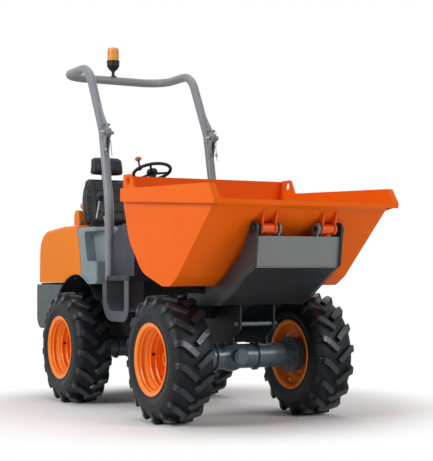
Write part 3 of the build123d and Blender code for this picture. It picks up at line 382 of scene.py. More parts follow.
rim_orange = surface("rim_orange", RIM_ORANGE, 0.30, coat=0.25, dust=0.08)
nut_zinc = surface("nut_zinc", (0.42, 0.41, 0.38), 0.38, tone=0.12, metal=1.0, edge=0.0006, peel_scale=600.0)
for corner in CORNERS:
    side = 1 if corner.endswith("left") else -1
    centre = centre_of("tyre_" + corner)
    place = Matrix.Translation(centre) @ Matrix.Diagonal((1, side, 1, 1))
    inward = Vector((-sin(VALVE_TURN), 0.0, -cos(VALVE_TURN)))
    valve_from = Vector((0, 20, 0)) - inward * 180
    welded = [turned(BARREL_INSIDE + BARREL_OUTSIDE, 128, closed=True), turned(DISC, 96, closed=True)]
    wheel = "wheel_" + corner
    made = piece("rim_barrel_" + corner, welded, rim_orange, wheel, place=place)
    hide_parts("rim_" + corner)
    piece("rim_hub_" + corner, turned(HUB, 64, closed=True), rim_orange, wheel, place=place)
    nuts = [hexagon(24, 20, (NUT_CIRCLE * sin(a), -32.8, NUT_CIRCLE * cos(a)), (0, 1, 0))
            for a in turns(NUTS)]
    nipple_from = valve_from + inward * 14
    valve = [bar(valve_from, nipple_from, 8), bar(nipple_from, valve_from + inward * 30, 4.5)]
    piece("rim_nuts_" + corner, nuts, nut_zinc, wheel, place=place)
    piece("rim_valve_" + corner, valve, rubber, wheel, place=place)

# ---- Axles ---------------------------------------------------------------------------------
# Two beam axles of cast and welded steel, painted blue-black: tubes bolted to an off-centre
# differential with its round filler cap, and rings of bolts inside the wheels.
AXLE_BLUE = (0.070, 0.105, 0.128)
FLANGE_BOLTS = 10
CAP_Y = -60
axle_paint = surface("axle_blue_black", AXLE_BLUE, 0.28, tone=0.25, tone_scale=8.0, coat=0.25, shine=0.5, edge=0.002,
                     dust=0.12, second=0.08, second_scale=60.0)


def dress(finish, *names):
    """Give CAD nodes their finish."""
    for name in names:
        nodes[name].data.materials.clear()
        nodes[name].data.materials.append(finish)


def bolt_circle(centre, axis, radius, count, across, height, start=0.0):
    """Hexagon heads on a circle about an axis."""
    stand = Vector(axis).to_track_quat("Z", "Y").to_matrix()
    heads = []
    for k in range(count):
        angle = start + 2 * pi * k / count
        off = stand @ Vector((radius * cos(angle), radius * sin(angle), 0))
        heads.append(hexagon(across, height, Vector(centre) + off, axis))
    return together(heads)


for end, body in (("front", "front_chassis"), ("rear", "rear_chassis")):
    dress(axle_paint, end + "_axle")
    middle = centre_of("tyre_" + end + "_left")
    x, z = middle.x, middle.z
    tube_flanges, flange_bolts = [], []
    for y, face in ((96, 1), (-178, -1)):
        band = turned([(73.9, 0), (86, 0), (87, 1), (87, 9), (86, 10), (73.9, 10)], 56, closed=True)
        tube_flanges.append(moved(band, Matrix.Translation((x, y if face > 0 else y - 10, z))))
        flange_bolts.append(bolt_circle((x, y + (10 if face > 0 else -10), z), (0, face, 0), 80, FLANGE_BOLTS, 9, 6))
    for side in (-1, 1):
        flange_bolts.append(bolt_circle((x, side * 311.5, z), (0, -side, 0), 102, 12, 10, 6, 0.2))
    cap = [bar((x + 126, CAP_Y, z + 5), (x + 134, CAP_Y, z + 5), 46, 40),
           bar((x + 133, CAP_Y, z + 5), (x + 139, CAP_Y, z + 5), 33, 40)]
    piece(end + "_axle_flanges", tube_flanges + cap, axle_paint, body)
    flange_bolts.append(bolt_circle((x + 133, CAP_Y, z + 5), (1, 0, 0), 40, 6, 7, 4, 0.3))
    flange_bolts.append(hexagon(17, 9, (x + 60, CAP_Y, z - 62), (0.7, 0, -0.72)))
    piece(end + "_axle_bolts", flange_bolts, axle_paint, body)

# ---- Rear chassis, counterweight and engine ------------------------------------------------
# A welded box frame of cut plate, painted black, with the fork of the articulation in front and
# a cast weight behind that is also the bumper. The engine block stands on the bed plate.
FRAME_BLACK = (0.017, 0.020, 0.024)
WEIGHT_GREY = (0.085, 0.102, 0.100)
frame_paint = surface("frame_black", FRAME_BLACK, 0.42, tone=0.15, dust=0.12, second=0.05)
weight_paint = surface("weight_grey", WEIGHT_GREY, 0.48, edge=0.007, peel=0.10, peel_scale=260.0,
                       dust=0.06, second=0.06, second_scale=30.0)
dress(frame_paint, "rear_chassis", "engine_block")
dress(weight_paint, "counterweight")


def slab(low, high, cut=1.0):
    """A plate with broken edges."""
    (x0, y0, z0), (x1, y1, z1) = low, high
    vertices = []
    for z, inset in ((z0, cut), (z0 + cut, 0), (z1 - cut, 0), (z1, cut)):
        a, b, c, d = x0 + inset, x1 - inset, y0 + inset, y1 - inset
        corners = ((a + cut, c), (b - cut, c), (b, c + cut), (b, d - cut),
                   (b - cut, d), (a + cut, d), (a, d - cut), (a, c + cut))
        vertices += [(x, y, z) for x, y in corners]
    return vertices, skin(4, 8)


def weld(start, end, radius=3.0):
    """A bead of weld between two points, rippled as the torch moved."""
    start, end = Vector(start), Vector(end)
    length = (end - start).length
    steps = max(int(length / 2.2), 2)
    vertices, sides = [], 7
    stand = (end - start).to_track_quat("Z", "Y").to_matrix()
    for i in range(steps + 1):
        swell = radius * (1.0 + 0.14 * sin(i * 2.1)) * (0.6 if i in (0, steps) else 1.0)
        vertices += [tuple(start + (end - start) * i / steps + stand @ Vector((swell * cos(a), swell * sin(a), 0)))
                     for a in turns(sides)]
    return vertices, skin(steps + 1, sides)


frame_welds = []
for side in (-1, 1):
    frame_welds += [weld((x, side * 250, 764), (x, side * 372, 764)) for x in (-310, -370)]
    frame_welds.append(weld((-312, side * 237, 560), (-312, side * 237, 776)))
    frame_welds += [weld((-298, side * 150, z), (-298, side * 60, z)) for z in (455, 545)]
piece("rear_chassis_welds", frame_welds, frame_paint, "rear_chassis")
KING_PIN_X = -20
stand = Matrix.Translation((KING_PIN_X, 0, 559)) @ Matrix.Rotation(radians(90), 4, "X")
cap = turned([(0.1, 0), (33, 0), (34, 1), (34, 7), (32, 9), (0.1, 9)], 40)
cap_bolts = bolt_circle((KING_PIN_X, 0, 567), (0, 0, 1), 24, 3, 10, 6)
piece("king_pin_cap", [moved(cap, stand), cap_bolts], frame_paint, "rear_chassis")
weight_bolts = [hexagon(24, 13, (-1480, y, 640), (-1, 0, 0)) for y in (-330, -200, 200, 330)]
piece("counterweight_bolts", weight_bolts, nut_zinc, "rear_chassis")
# a rubber strip on the weight's top, under the cover's edge
cover_low, cover_high = corners_of("engine_cover")
SEAL_FOOT, SEAL_TOP, SEAL_HALF = 800.2, 811.5, 5
edge_x, edge_y = cover_low.x + 10, cover_high.y - 10
# each length of strip: from x, from y, to x, to y
seal = [(edge_x, -edge_y + 40, edge_x, 0), (edge_x, 0, edge_x, edge_y - 40)]
seal += [(edge_x + 40, side * edge_y, -1190, side * edge_y) for side in (-1, 1)]
strips = [slab((x0 - SEAL_HALF, y0 - SEAL_HALF, SEAL_FOOT), (x1 + SEAL_HALF, y1 + SEAL_HALF, SEAL_TOP), 3)
          for x0, y0, x1, y1 in seal]
piece("cover_seal", strips, rubber, "rear_chassis")

# ---- Body sides and arch liners ------------------------------------------------------------
# The body sides are rotation-moulded grey panels with a rolled lip round the wheel arch, its lighter grey a painted
# highlight;
# the liners are black sheet, held by plated button screws.
PANEL_GREY = (0.200, 0.248, 0.262)
panel_grey = surface("panel_grey", PANEL_GREY, 0.38, tone=0.04, edge=0.006, peel=0.06, peel_scale=300.0,
                     second=0.05, second_scale=18.0)
# the arch lip and ledge cords are a lighter copy of the panel grey: a painted highlight
lip_highlight_grey = surface("lip_highlight_grey", (0.25, 0.30, 0.305), 0.32, tone=0.05, edge=0.001, peel=0.04)
liner_black = surface("liner_black", (0.007, 0.007, 0.008), 0.62, tone=0.2, peel=0.12, edge=0.0)
dress(panel_grey, "side_panel_left", "side_panel_right")
dress(liner_black, "fender_liners")


def swept(points, radius, sides=10, closed=False):
    """A round cord along points, its rings turned as little as possible."""
    points = [Vector(p) for p in points]
    count = len(points)
    vertices, across = [], None
    for i, point in enumerate(points):
        before = points[i - 1] if i or closed else point
        after = points[(i + 1) % count] if i < count - 1 or closed else point
        run = (after - before).normalized()
        if across is None:
            across = run.orthogonal().normalized()
        across = (across - run * across.dot(run)).normalized()
        up = run.cross(across)
        size = radius[i] if isinstance(radius, (list, tuple)) else radius
        vertices += [tuple(point + (across * cos(a) + up * sin(a)) * size) for a in turns(sides)]
    if not closed:
        return vertices, skin(count, sides)
    return vertices, [(i * sides + k, i * sides + (k + 1) % sides, (i + 1) % count * sides + (k + 1) % sides,
                       (i + 1) % count * sides + k) for i in range(count) for k in range(sides)]


arch_x, arch_z, arch_r = -730.0, 433.0, 439.0
for side, name in ((1, "left"), (-1, "right")):
    low, high = radians(58.5), radians(77)
    lip = [(arch_x + (arch_r + 4) * cos(a), side * 487, arch_z + (arch_r + 4) * sin(a))
           for a in [low + (high - low) * k / 30 for k in range(31)]]
    ledge = [(-376 - 150 * k / 12, side * 484.5, 957) for k in range(13)]
    lips = together([swept(lip, 4.0, 8), swept(ledge, 2.6, 8)])
    piece("arch_lip_" + name, lips, lip_highlight_grey, "rear_chassis")
    screws = []
    for x in (-600, -470, -860):
        reach = sqrt((arch_r - 6) ** 2 - (x - arch_x) ** 2)
        down = Vector((x - arch_x, 0, reach)).normalized()
        head = Vector((arch_x, side * 430, arch_z)) + down * (arch_r - 5)
        screws.append(hexagon(12, 5, head, -down))
    piece("liner_screws_" + name, screws, nut_zinc, "rear_chassis")

# ---- Engine cover --------------------------------------------------------------------------
# A gloss orange moulding over the engine, hinged at its tail with the seat bolted in its recess.
# Its front edge is an arc about the hinge, and seven vent ribs cross its back.
COVER_ORANGE = (0.82, 0.205, 0.004)
cover_orange = surface("cover_orange", COVER_ORANGE, 0.36, tone=0.03, shine=0.08, edge=0.004, second=0.03,
                       second_scale=9.0)
dress(cover_orange, "engine_cover")
black_moulding = surface("black_moulding", (0.013, 0.013, 0.015), 0.46, tone=0.10, peel=0.12, peel_scale=500.0,
                         edge=0.001)
VENTS, VENT_LOW, VENT_PITCH = 7, 1010, 17
vents = [swept([(-1449.2, y, VENT_LOW + VENT_PITCH * k) for y in (-120, -60, 0, 60, 120)], 3.4, 8) for k in range(VENTS)]
piece("cover_vent_ribs", vents, cover_orange, "cover")
hinge_pins = [hexagon(13, 8, (-1425, side * 276, 845), (0, side, 0)) for side in (-1, 1)]
piece("cover_hinge_nuts", hinge_pins, nut_zinc, "rear_chassis")

# ---- Marker lamp ---------------------------------------------------------------------------
# An amber lamp with a ribbed lens in a rubber ring, on a bent bracket screwed behind the seat.
amber = bpy.data.materials.new("amber_lens")
amber.use_nodes = True
amber_tree = amber.node_tree
amber_shader = amber_tree.nodes["Principled BSDF"]
amber_place = node(amber_tree, "ShaderNodeTexCoord", {})
amber_wave = node(amber_tree, "ShaderNodeTexWave", {"Scale": 60.0, "Vector": amber_place.outputs["Object"]},
                  bands_direction="Z")
amber_mix = node(amber_tree, "ShaderNodeMix", {0: amber_wave.outputs["Fac"], 6: (0.80, 0.23, 0.006, 1),
                                               7: (0.93, 0.36, 0.015, 1)}, data_type="RGBA")
amber_bump = node(amber_tree, "ShaderNodeBump",
                  {"Strength": 0.35, "Distance": 0.002, "Height": amber_wave.outputs["Fac"]})
connect(amber_tree, amber_shader, {"Base Color": amber_mix.outputs[2], "Normal": amber_bump.outputs[0],
                                   "Roughness": 0.12, "Coat Weight": 0.6, "Coat Roughness": 0.05})

lamp_low, lamp_high = corners_of("marker_lamp")
lamp_y, lamp_z = lamp_low.y + 24, lamp_high.z - 24
lamp_x = -1400.0
dome = [(0.1, 22), (10, 21.4), (17, 18.6), (21.5, 13), (22.8, 6), (23, 0), (23, -4)]
shell = [(0.1, -14), (20, -14), (24, -10), (24, -1), (23.6, 0), (21, 0.2)]
face_on = Matrix.Translation((lamp_x, lamp_y, lamp_z)) @ Matrix.Rotation(radians(-90), 4, "Z")
piece("marker_lens", turned(dome, 40), amber, "cover", 60, face_on)
case = [moved(turned(shell, 40), face_on)]
foot_z = lamp_low.z
case += [slab((-1403, lamp_y + 24, foot_z), (-1397, lamp_y + 76, foot_z + 45)),
         slab((-1421, lamp_y + 46, foot_z), (-1379, lamp_y + 76, foot_z + 4)),
         bar((lamp_x, lamp_y + 22, lamp_z), (lamp_x, lamp_y + 33, lamp_z), 8)]
case.append(hexagon(10, 6, (-1410, lamp_y + 61, foot_z + 4), (0, 0, 1)))
lamp_case = piece("marker_case", case, black_moulding, "cover")
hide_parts("marker_lamp")

# ---- Operator's floor, console and steps ---------------------------------------------------
# The floor and knee console are dark blue-black moulded sheet with rounded edges; the steps
# are bent grey strip with a flat frame, screwed under the floor's edge.
CONSOLE_DARK = (0.026, 0.027, 0.040)
STEP_GREY = (0.080, 0.089, 0.103)
console_dark = surface("console_dark", CONSOLE_DARK, 0.36, tone=0.05, edge=0.005, peel=0.06, peel_scale=350.0,
                       second=0.04, second_scale=14.0)
step_paint = surface("step_grey", STEP_GREY, 0.36, edge=0.004, dust=0.08, dust_top=0.9)
dress(console_dark, "platform", "console")
dress(step_paint, "steps")
FLOOR_FRONT = 10
STUD_ROWS, STUD_COLUMNS, ROW_PITCH, COLUMN_PITCH = 9, 7, 32, 22
mat_studs, flange_screws = [], []
for row in range(STUD_ROWS):
    for column in range(STUD_COLUMNS):
        x, y = -270 + row * ROW_PITCH + (column % 2) * ROW_PITCH / 2, 285 - column * COLUMN_PITCH
        if x < FLOOR_FRONT:
            mat_studs += [bar((x, sign * y, 849.5), (x, sign * y, 852.6), 6, 10) for sign in (-1, 1)]
piece("floor_studs", mat_studs, black_moulding, "rear_chassis")
for side in (-1, 1):
    for x in (-290, -120, 30):
        flange_screws.append(hexagon(10, 5, (x, side * 437, 846), (0, side, 0)))
piece("step_screws", flange_screws, console_dark, "rear_chassis")

# ---- Roll-over hoop and its posts ----------------------------------------------------------
# Round steel tube sprayed light grey. The hoop folds forward about zinc-plated bolts in the
# posts' ears; a lock pin with a spring clip on a cable keeps it up on each side.
HOOP_GREY = (0.225, 0.238, 0.255)
hoop_grey = surface("hoop_grey", HOOP_GREY, 0.32, tone=0.05, coat=0.08, edge=0.001)
dress(hoop_grey, "rops_hoop", "rops_posts")
cable_steel = surface("cable_steel", (0.20, 0.20, 0.20), 0.35, tone=0.2, metal=0.9, edge=0.0, peel=0.4,
                      peel_scale=900.0)
HINGE_X, HINGE_Z = -372, 1819
LOCK_X, LOCK_Z = -404, 1876
post_welds, pin_parts, hinge_parts = [], [], []
for side in (-1, 1):
    y = side * 400
    hinge_parts += [hexagon(19, 12, (HINGE_X, y + 34, HINGE_Z), (0, 1, 0)),
                    hexagon(19, 12, (HINGE_X, y - 34, HINGE_Z), (0, -1, 0)),
                    hexagon(17, 9, (-354, y + side * 18, 1700), (0, side, 0))]
    pin_parts += [bar((LOCK_X, y - 33, LOCK_Z), (LOCK_X, y + 33, LOCK_Z), 6),
                  hexagon(14, 7, (LOCK_X, y + side * 27, LOCK_Z), (0, side, 0))]
    ring = [(LOCK_X + 15 * sin(a), y + side * 37 + 3 * cos(a), LOCK_Z - 18 + 15 * cos(a)) for a in turns(24)]
    pin_parts.append(swept(ring, 1.8, 8, closed=True))
    # the cable hangs in a loop: x, distance out from the post, z
    rope = [(x, y + side * out, z) for x, out, z in ((-404, 37, 1844), (-398, 41, 1812), (-392, 43, 1786), (-396, 42, 1766),
                                                     (-406, 39, 1764), (-412, 36, 1782), (-408, 34, 1806))]
    pin_parts.append(swept(rope, 1.5, 8))
    post_welds += [weld((-338, y + dy, 1660), (-362, y + dy, 1765), 2.6) for dy in (-18, 18)]
piece("hoop_hinge_bolts", hinge_parts, nut_zinc, "rear_chassis")
piece("hoop_lock_pins", pin_parts, cable_steel, "hoop")
piece("post_welds", post_welds, hoop_grey, "rear_chassis")
feet = [hexagon(17, 10, (x, y, 772), (0, 0, 1)) for y in (-354, 354) for x in (-360, -320)]
piece("post_foot_bolts", feet, nut_zinc, "rear_chassis")

# ---- Beacon --------------------------------------------------------------------------------
# An amber beacon on a stem over the hoop's rear bar: black base with a rubber ring, a ribbed
# lens on top, and a nut under the base.
dress(black_moulding, "beacon_base")
lens_low, lens_high = corners_of("beacon_lens")
bx, bz = (lens_low.x + lens_high.x) / 2, lens_low.z
tall = lens_high.z - bz
ribbed = [(43.8, 0), (44, 3)]
RIBS, RIB_PITCH = 9, 8.2
for k in range(RIBS):
    z = 8 + RIB_PITCH * k
    ribbed += [(42.2, z), (44, z + 2.6), (44, z + 4.6), (42.2, z + 7.2)]
ribbed += [(43.6, tall - 19), (42, tall - 12), (37, tall - 5), (27, tall - 1.2), (0.1, tall)]
upright = Matrix.Translation((bx, 0, bz)) @ Matrix.Rotation(radians(90), 4, "X")
beacon = piece("beacon_dome", turned(ribbed, 56), amber, "hoop", 50, upright)
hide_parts("beacon_lens")
ring_form = turned([(46.2, -9), (48, -7), (48, 4), (46.5, 6), (44.5, 6), (44.5, -9)], 56, closed=True)
nut_form = turned([(12.2, -72), (19, -72), (20, -70), (20, -58), (19, -56), (12.2, -56)], 32, closed=True)
piece("beacon_ring", [ring_form, nut_form], black_moulding, "hoop", place=upright)

# ---- Steering column and wheel -------------------------------------------------------------
# A moulded shroud carries the column. The wheel is a steel ring in black foam with finger
# grips, three spokes, a capped hub and an orange turning knob on the rim.
WHEEL_CENTRE = (-517, 0, 1580)
WHEEL_TILT, WHEEL_R, KNOB_TURN = 22, 130, 295
dress(black_moulding, "steering_column")
wheel_place = Matrix.Translation(WHEEL_CENTRE) @ Matrix.Rotation(radians(-WHEEL_TILT), 4, "Y")
ring_points, ring_sizes = [], []
for a in turns(180):
    ring_points.append((WHEEL_R * cos(a), WHEEL_R * sin(a), 0))
    ring_sizes.append(11.4 + 0.6 * cos(60 * a))
wheel_forms = [swept(ring_points, ring_sizes, 14, closed=True)]
for spoke_turn in (90, 210, 330):
    a = radians(spoke_turn)
    run = [(q * cos(a), q * sin(a), h) for q, h in ((26, -8), (50, -9), (85, -6), (115, -2), (128, 0))]
    wheel_forms.append(swept(run, [10, 9, 8, 8, 8], 12))
hub_up = Matrix.Rotation(radians(90), 4, "X")
hub_cap = turned([(0.1, -21.8), (34, -21.8), (38, -17), (39, -6), (38, 6), (33, 14), (24, 18.6), (8, 21), (0.1, 21.4)], 48)
wheel_forms.append(moved(hub_cap, hub_up))
wheel_made = piece("steering_rim", wheel_forms, black_moulding, "rear_chassis", 55, wheel_place)
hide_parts("steering_wheel")
knob_orange = surface("knob_orange", (0.83, 0.16, 0.015), 0.3, tone=0.04, coat=0.3, edge=0.001)
ka = radians(KNOB_TURN)
kx, ky = WHEEL_R * cos(ka), WHEEL_R * sin(ka)
knob_form = turned([(0.1, 52), (9, 52), (12, 54), (20, 60), (23, 66), (22.5, 72), (17, 77), (8, 79), (0.1, 79.4)], 36)
knob_place = wheel_place @ Matrix.Translation((kx, ky, 0)) @ hub_up
piece("turning_knob", knob_form, knob_orange, "rear_chassis", 60, knob_place)
clamp = [bar((kx, ky, 8), (kx, ky, 54), 6.5), bar((kx - 15, ky, -3), (kx + 15, ky, -3), 15)]
piece("knob_clamp", clamp, black_moulding, "rear_chassis", place=wheel_place)

# ---- Levers --------------------------------------------------------------------------------
# The travel lever stands in rubber bellows on the right body side, with a ball grip; a short
# chromed lock lever with a square grip stands beside it.
lx, ly, lz = -640, -365, corners_of("control_levers")[0].z
bellows = [(58, 0), (58, 6)]
FOLDS = 6
for k in range(FOLDS):
    r, h = 52 - 5.6 * k, 8 + 9 * k
    bellows += [(r - 4, h), (r + 1, h + 3.2), (r + 1, h + 5.2), (r - 5, h + 8.2)]
bellows += [(17, 64), (9, 66)]
lever_up = Matrix.Translation((lx, ly, lz)) @ hub_up
boots = piece("lever_bellows", turned(bellows, 44), black_moulding, "rear_chassis", 50, lever_up)
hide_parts("control_levers")
grip_at = Matrix.Translation((lx + 38, ly + 12, lz + 212)) @ hub_up
grip = turned([(0.1, -30), (9, -29), (13, -24), (18, -17), (25, -6), (27, 4), (24, 15), (16, 23), (7, 26.5),
               (0.1, 27)], 36)
piece("lever_grip", [moved(grip, grip_at), bar((lx - 10, ly + 62, lz + 84), (lx - 10.5, ly + 62, lz + 90), 11),
                              slab((lx - 24, ly + 50, lz + 86), (lx + 4, ly + 74, lz + 124), 5)],
      black_moulding, "rear_chassis", smooth=60)
chrome_bar = surface("chrome_bar", (0.62, 0.62, 0.63), 0.12, tone=0.02, metal=1.0, edge=0.0)
sticks = [bar((lx, ly, lz + 50), (lx + 34, ly + 10, lz + 186), 6.5),
          bar((lx - 5, ly + 70, lz + 3), (lx - 10, ly + 62, lz + 88), 5.5),
          bar((lx - 5, ly + 70, lz), (lx - 5, ly + 70, lz + 8), 16)]
piece("lever_sticks", sticks, chrome_bar, "rear_chassis")

# ---- Seat ----------------------------------------------------------------------------------
# A suspension seat: foam cushion, backrest and headrest in black vinyl on a steel pan, with
# sewn bolsters and cross seams, and a grey lap belt anchored at the pan.
VINYL_BLACK = (0.020, 0.021, 0.024)
vinyl = surface("seat_vinyl", VINYL_BLACK, 0.40, tone=0.10, peel=0.22, peel_scale=330.0, edge=0.0, second=0.06,
                second_scale=30.0)
seat_low, seat_high = corners_of("seat_cushion")
back_low = corners_of("seat_back")[0]
VOXEL = 0.006


def lofted_pad(outlines):
    """A closed pad through rings of points, from the first ring to the last."""
    return [point for ring in outlines for point in ring], skin(len(outlines), len(outlines[0]))


def rounded(a0, a1, b0, b1, corner, height, steps=8):
    """Points at one height round a rectangle with round corners."""
    points = []
    for ca, cb, start in ((a1 - corner, b1 - corner, 0), (a0 + corner, b1 - corner, 90),
                          (a0 + corner, b0 + corner, 180), (a1 - corner, b0 + corner, 270)):
        for k in range(steps):
            angle = radians(start + 90 * k / (steps - 1))
            points.append((ca + corner * cos(angle), cb + corner * sin(angle), height))
    return points


def stuffed(name, form, cap, seams, body):
    """Foam in its cover: remeshed, blown up a little as cloth, then drawn in along its seams."""
    made = piece(name, form, vinyl, body, smooth=180)
    bpy.context.view_layer.objects.active = made
    remesh = made.modifiers.new("remesh", "REMESH")
    remesh.mode, remesh.voxel_size = "VOXEL", VOXEL
    bpy.ops.object.modifier_apply(modifier="remesh")
    rest = [v.co.copy() for v in made.data.vertices]
    cloth = made.modifiers.new("cloth", "CLOTH")
    cloth.settings.use_pressure = True
    cloth.settings.uniform_pressure_force = 4.0
    cloth.settings.effector_weights.gravity = 0.0
    cloth.point_cache.frame_end = 20
    for step in range(1, 21):
        bpy.context.scene.frame_set(step)
    blown = made.evaluated_get(bpy.context.evaluated_depsgraph_get()).to_mesh()
    puffed = [v.co.copy() for v in blown.vertices]
    made.modifiers.remove(cloth)
    bpy.context.scene.frame_set(1)
    for vertex, start, end in zip(made.data.vertices, rest, puffed):
        step = end - start
        if step.length > cap / 1000:
            step *= cap / 1000 / step.length
        vertex.co = start + step
    divide = made.modifiers.new("divide", "SUBSURF")
    divide.levels = divide.render_levels = 1
    bpy.ops.object.modifier_apply(modifier="divide")
    normals = [v.normal.copy() for v in made.data.vertices]
    for vertex, normal in zip(made.data.vertices, normals):
        vertex.co -= normal * seams(vertex.co * 1000, normal) / 1000
    made.data.polygons.foreach_set("use_smooth", [True] * len(made.data.polygons))
    return made


def groove(distance, depth, width):
    """How far a sewn seam draws the cover in at a distance from it."""
    return depth * exp(-(distance / width) ** 2)


pan_top = seat_low.z + 30.3
cushion_top = seat_high.z
# from x, to x, half width, corner radius, height
CUSHION = ((-1226, -792, 206, 44, pan_top + 3), (-1234, -780, 217, 56, pan_top + 16),
           (-1234, -778, 218, 58, pan_top + 60), (-1230, -786, 214, 58, cushion_top - 26),
           (-1220, -800, 200, 54, cushion_top - 12), (-1206, -826, 176, 50, cushion_top - 7))
cushion_rings = [rounded(x0, x1, -half, half, corner, z) for x0, x1, half, corner, z in CUSHION]


def cushion_seams(at, normal):
    """Two seams along the bolsters, three across between them, and the welt round the side."""
    drawn = 0.0
    if normal.z > 0.3:
        drawn += groove(abs(at.y) - 128, 6.0, 6.0)
        if abs(at.y) < 128:
            drawn += sum(groove(at.x - x, 4.5, 6.0) for x in (-1120, -1030, -940)) + 3.0
    drawn += groove(at.z - (pan_top + 62), 2.6, 3.5) if abs(normal.z) < 0.6 else 0.0
    return drawn


cushion = stuffed("seat_cushion_pad", lofted_pad(cushion_rings), 8, cushion_seams, "cover")
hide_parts("seat_cushion")
pan = together([slab((-1250, -200, seat_low.z), (-790, 200, seat_low.z + 26), 4),
                slab((-1236, -212, seat_low.z + 4), (-1180, 212, seat_low.z + 22), 3)])
piece("seat_pan", pan, black_moulding, "cover")


def back_ring(share, inset):
    """One ring of the backrest at a share of its height, from its rear face to its front."""
    height = back_low.z + 8 + (1592 - back_low.z - 16) * share
    front = -1196 - 14 * share - 44 * share * share
    thick = 82 - 10 * share + 10 * sin(pi * share)
    half = (196 + 16 * sin(pi * min(share * 1.15, 1.0)) - 22 * max(share - 0.7, 0) / 0.3) - inset
    return rounded(front - thick + inset, front - inset, -half, half, 26, height)


back_rings = [back_ring(s, 0) for s in (0.05, 0.15, 0.3, 0.45, 0.6, 0.75, 0.87, 0.95)]
back_rings = [back_ring(0.0, 16)] + back_rings + [back_ring(1.0, 18)]


def back_seams(at, normal):
    """Bolster seams down the front, three across between them, and the welt round the edge."""
    drawn = 0.0
    if normal.x > 0.3:
        drawn += groove(abs(at.y) - 118, 6.0, 6.0)
        if abs(at.y) < 118:
            drawn += sum(groove(at.z - z, 4.5, 6.0) for z in (1330, 1410, 1490)) + 3.0
    return drawn


backrest = stuffed("seat_back_pad", lofted_pad(back_rings), 8, back_seams, "cover")
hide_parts("seat_back")


def head_ring(share, inset):
    """One ring of the headrest at a share of its height."""
    height = 1616 + 126 * share
    front = -1264 + 8 * sin(pi * share) - 10 * share
    half = 128 - 12 * share - inset
    return rounded(front - 74 + inset, front - inset, -half, half, 28, height)


head_rings = [head_ring(0.0, 12)] + [head_ring(s, 0) for s in (0.1, 0.35, 0.6, 0.88)] + [head_ring(1.0, 14)]
stuffed("seat_head_pad", lofted_pad(head_rings), 6,
        lambda at, normal: groove(abs(at.y) - 62, 4.0, 5.0) if normal.x > 0.3 else 0.0, "cover")
posts = [bar((-1312, y, 1560), (-1306, y, 1640), 6) for y in (-32, 32)]
piece("seat_head_posts", posts, chrome_bar, "cover")
recliner = turned([(0.1, -4), (30, -4), (33, -1), (33, 5), (29, 8), (12, 9), (0.1, 9.5)], 36)
hinges = []
for side in (-1, 1):
    hinges.append(moved(recliner, Matrix.Translation((-1236, side * 224, 1236)) @ Matrix.Diagonal((1, side, 1, 1))))
    hinges.append(slab((-1268, side * 222 - 4, 1150), (-1210, side * 222 + 4, 1250), 2))
piece("seat_recliners", hinges, black_moulding, "cover")

# ---- Lap belt ------------------------------------------------------------------------------
# A woven grey belt lies over the cushion's sides from its anchors on the pan; one half ends in
# the tongue and the other in the buckle.
belt_cloth = surface("belt_webbing", (0.11, 0.115, 0.125), 0.62, tone=0.1, peel=0.8, peel_scale=900.0, edge=0.0)


def strap(points, width, thick, across=(1, 0, 0)):
    """Flat webbing along points, its width lying along one direction."""
    points, wide = [Vector(p) for p in points], Vector(across).normalized() * width / 2
    vertices = []
    for i, point in enumerate(points):
        run = (points[min(i + 1, len(points) - 1)] - points[max(i - 1, 0)]).normalized()
        lift = run.cross(wide).normalized() * thick / 2
        vertices += [tuple(point + off) for off in (wide + lift, lift - wide, -wide - lift, wide - lift)]
    return vertices, skin(len(points), 4)


BELT_X, BELT_WIDTH, BELT_THICK = -1190, 46, 2.4
# one half from its anchor to the buckle: distance from the middle, height
BELT_RUN = ((232, 1136), (233, 1165), (231, 1195), (224, 1217), (205, 1228), (170, 1229), (130, 1227), (92, 1227))
belts = [strap([(BELT_X, side * y, z) for y, z in BELT_RUN], BELT_WIDTH, BELT_THICK) for side in (-1, 1)]
piece("lap_belt", belts, belt_cloth, "cover")
buckle = [slab((-1214, 40, 1222), (-1166, 96, 1238), 4), slab((-1211, -96, 1224), (-1169, -60, 1232), 3)]
piece("belt_buckle", buckle, black_moulding, "cover")

# ---- Front chassis and steering cylinder ---------------------------------------------------
# Two cut plates with cross members carry the tower and the axle; the towing bar is a loose pin
# through their front ends, with a nut on each side. One small cylinder steers on the right.
dress(frame_paint, "front_chassis", "steering_barrel")
dress(chrome_bar, "steering_rod")
TOW_X, TOW_Z = 880, 577
tow = [bar((TOW_X, -128, TOW_Z), (TOW_X, 128, TOW_Z), 13.6, 24)]
tow += [hexagon(22, 12, (TOW_X, side * 132, TOW_Z), (0, side, 0)) for side in (-1, 1)]
piece("towing_bar", tow, axle_paint, "front_chassis")
chassis_welds = []
for side in (-1, 1):
    chassis_welds += [weld((564, side * 121, 700), (564, side * 270, 700)),
                      weld((600, side * 121, 699), (900, side * 121, 699)),
                      weld((108, side * 107, 450), (108, side * 107, 636)),
                      weld((573, side * 121, 610), (573, side * 121, 696))]
piece("front_chassis_welds", chassis_welds, frame_paint, "front_chassis")
BASE_X, BASE_Z = 340, 470
saddle_bolts = [hexagon(19, 11, (x, side * 114, 451), (0, 0, 1)) for x in (645, 735) for side in (-1, 1)]
base_pin = [hexagon(22, 10, (BASE_X, side * 132, BASE_Z), (0, side, 0)) for side in (-1, 1)]
rod_nut, base_nut = (hexagon(17, 8, at, (0, 0, 1)) for at in ((150, -168, 626), (-262, -190, 628)))
piece("chassis_bolts", saddle_bolts + base_pin + [rod_nut], axle_paint, "front_chassis")
piece("steer_base_nut", base_nut, axle_paint, "rear_chassis")

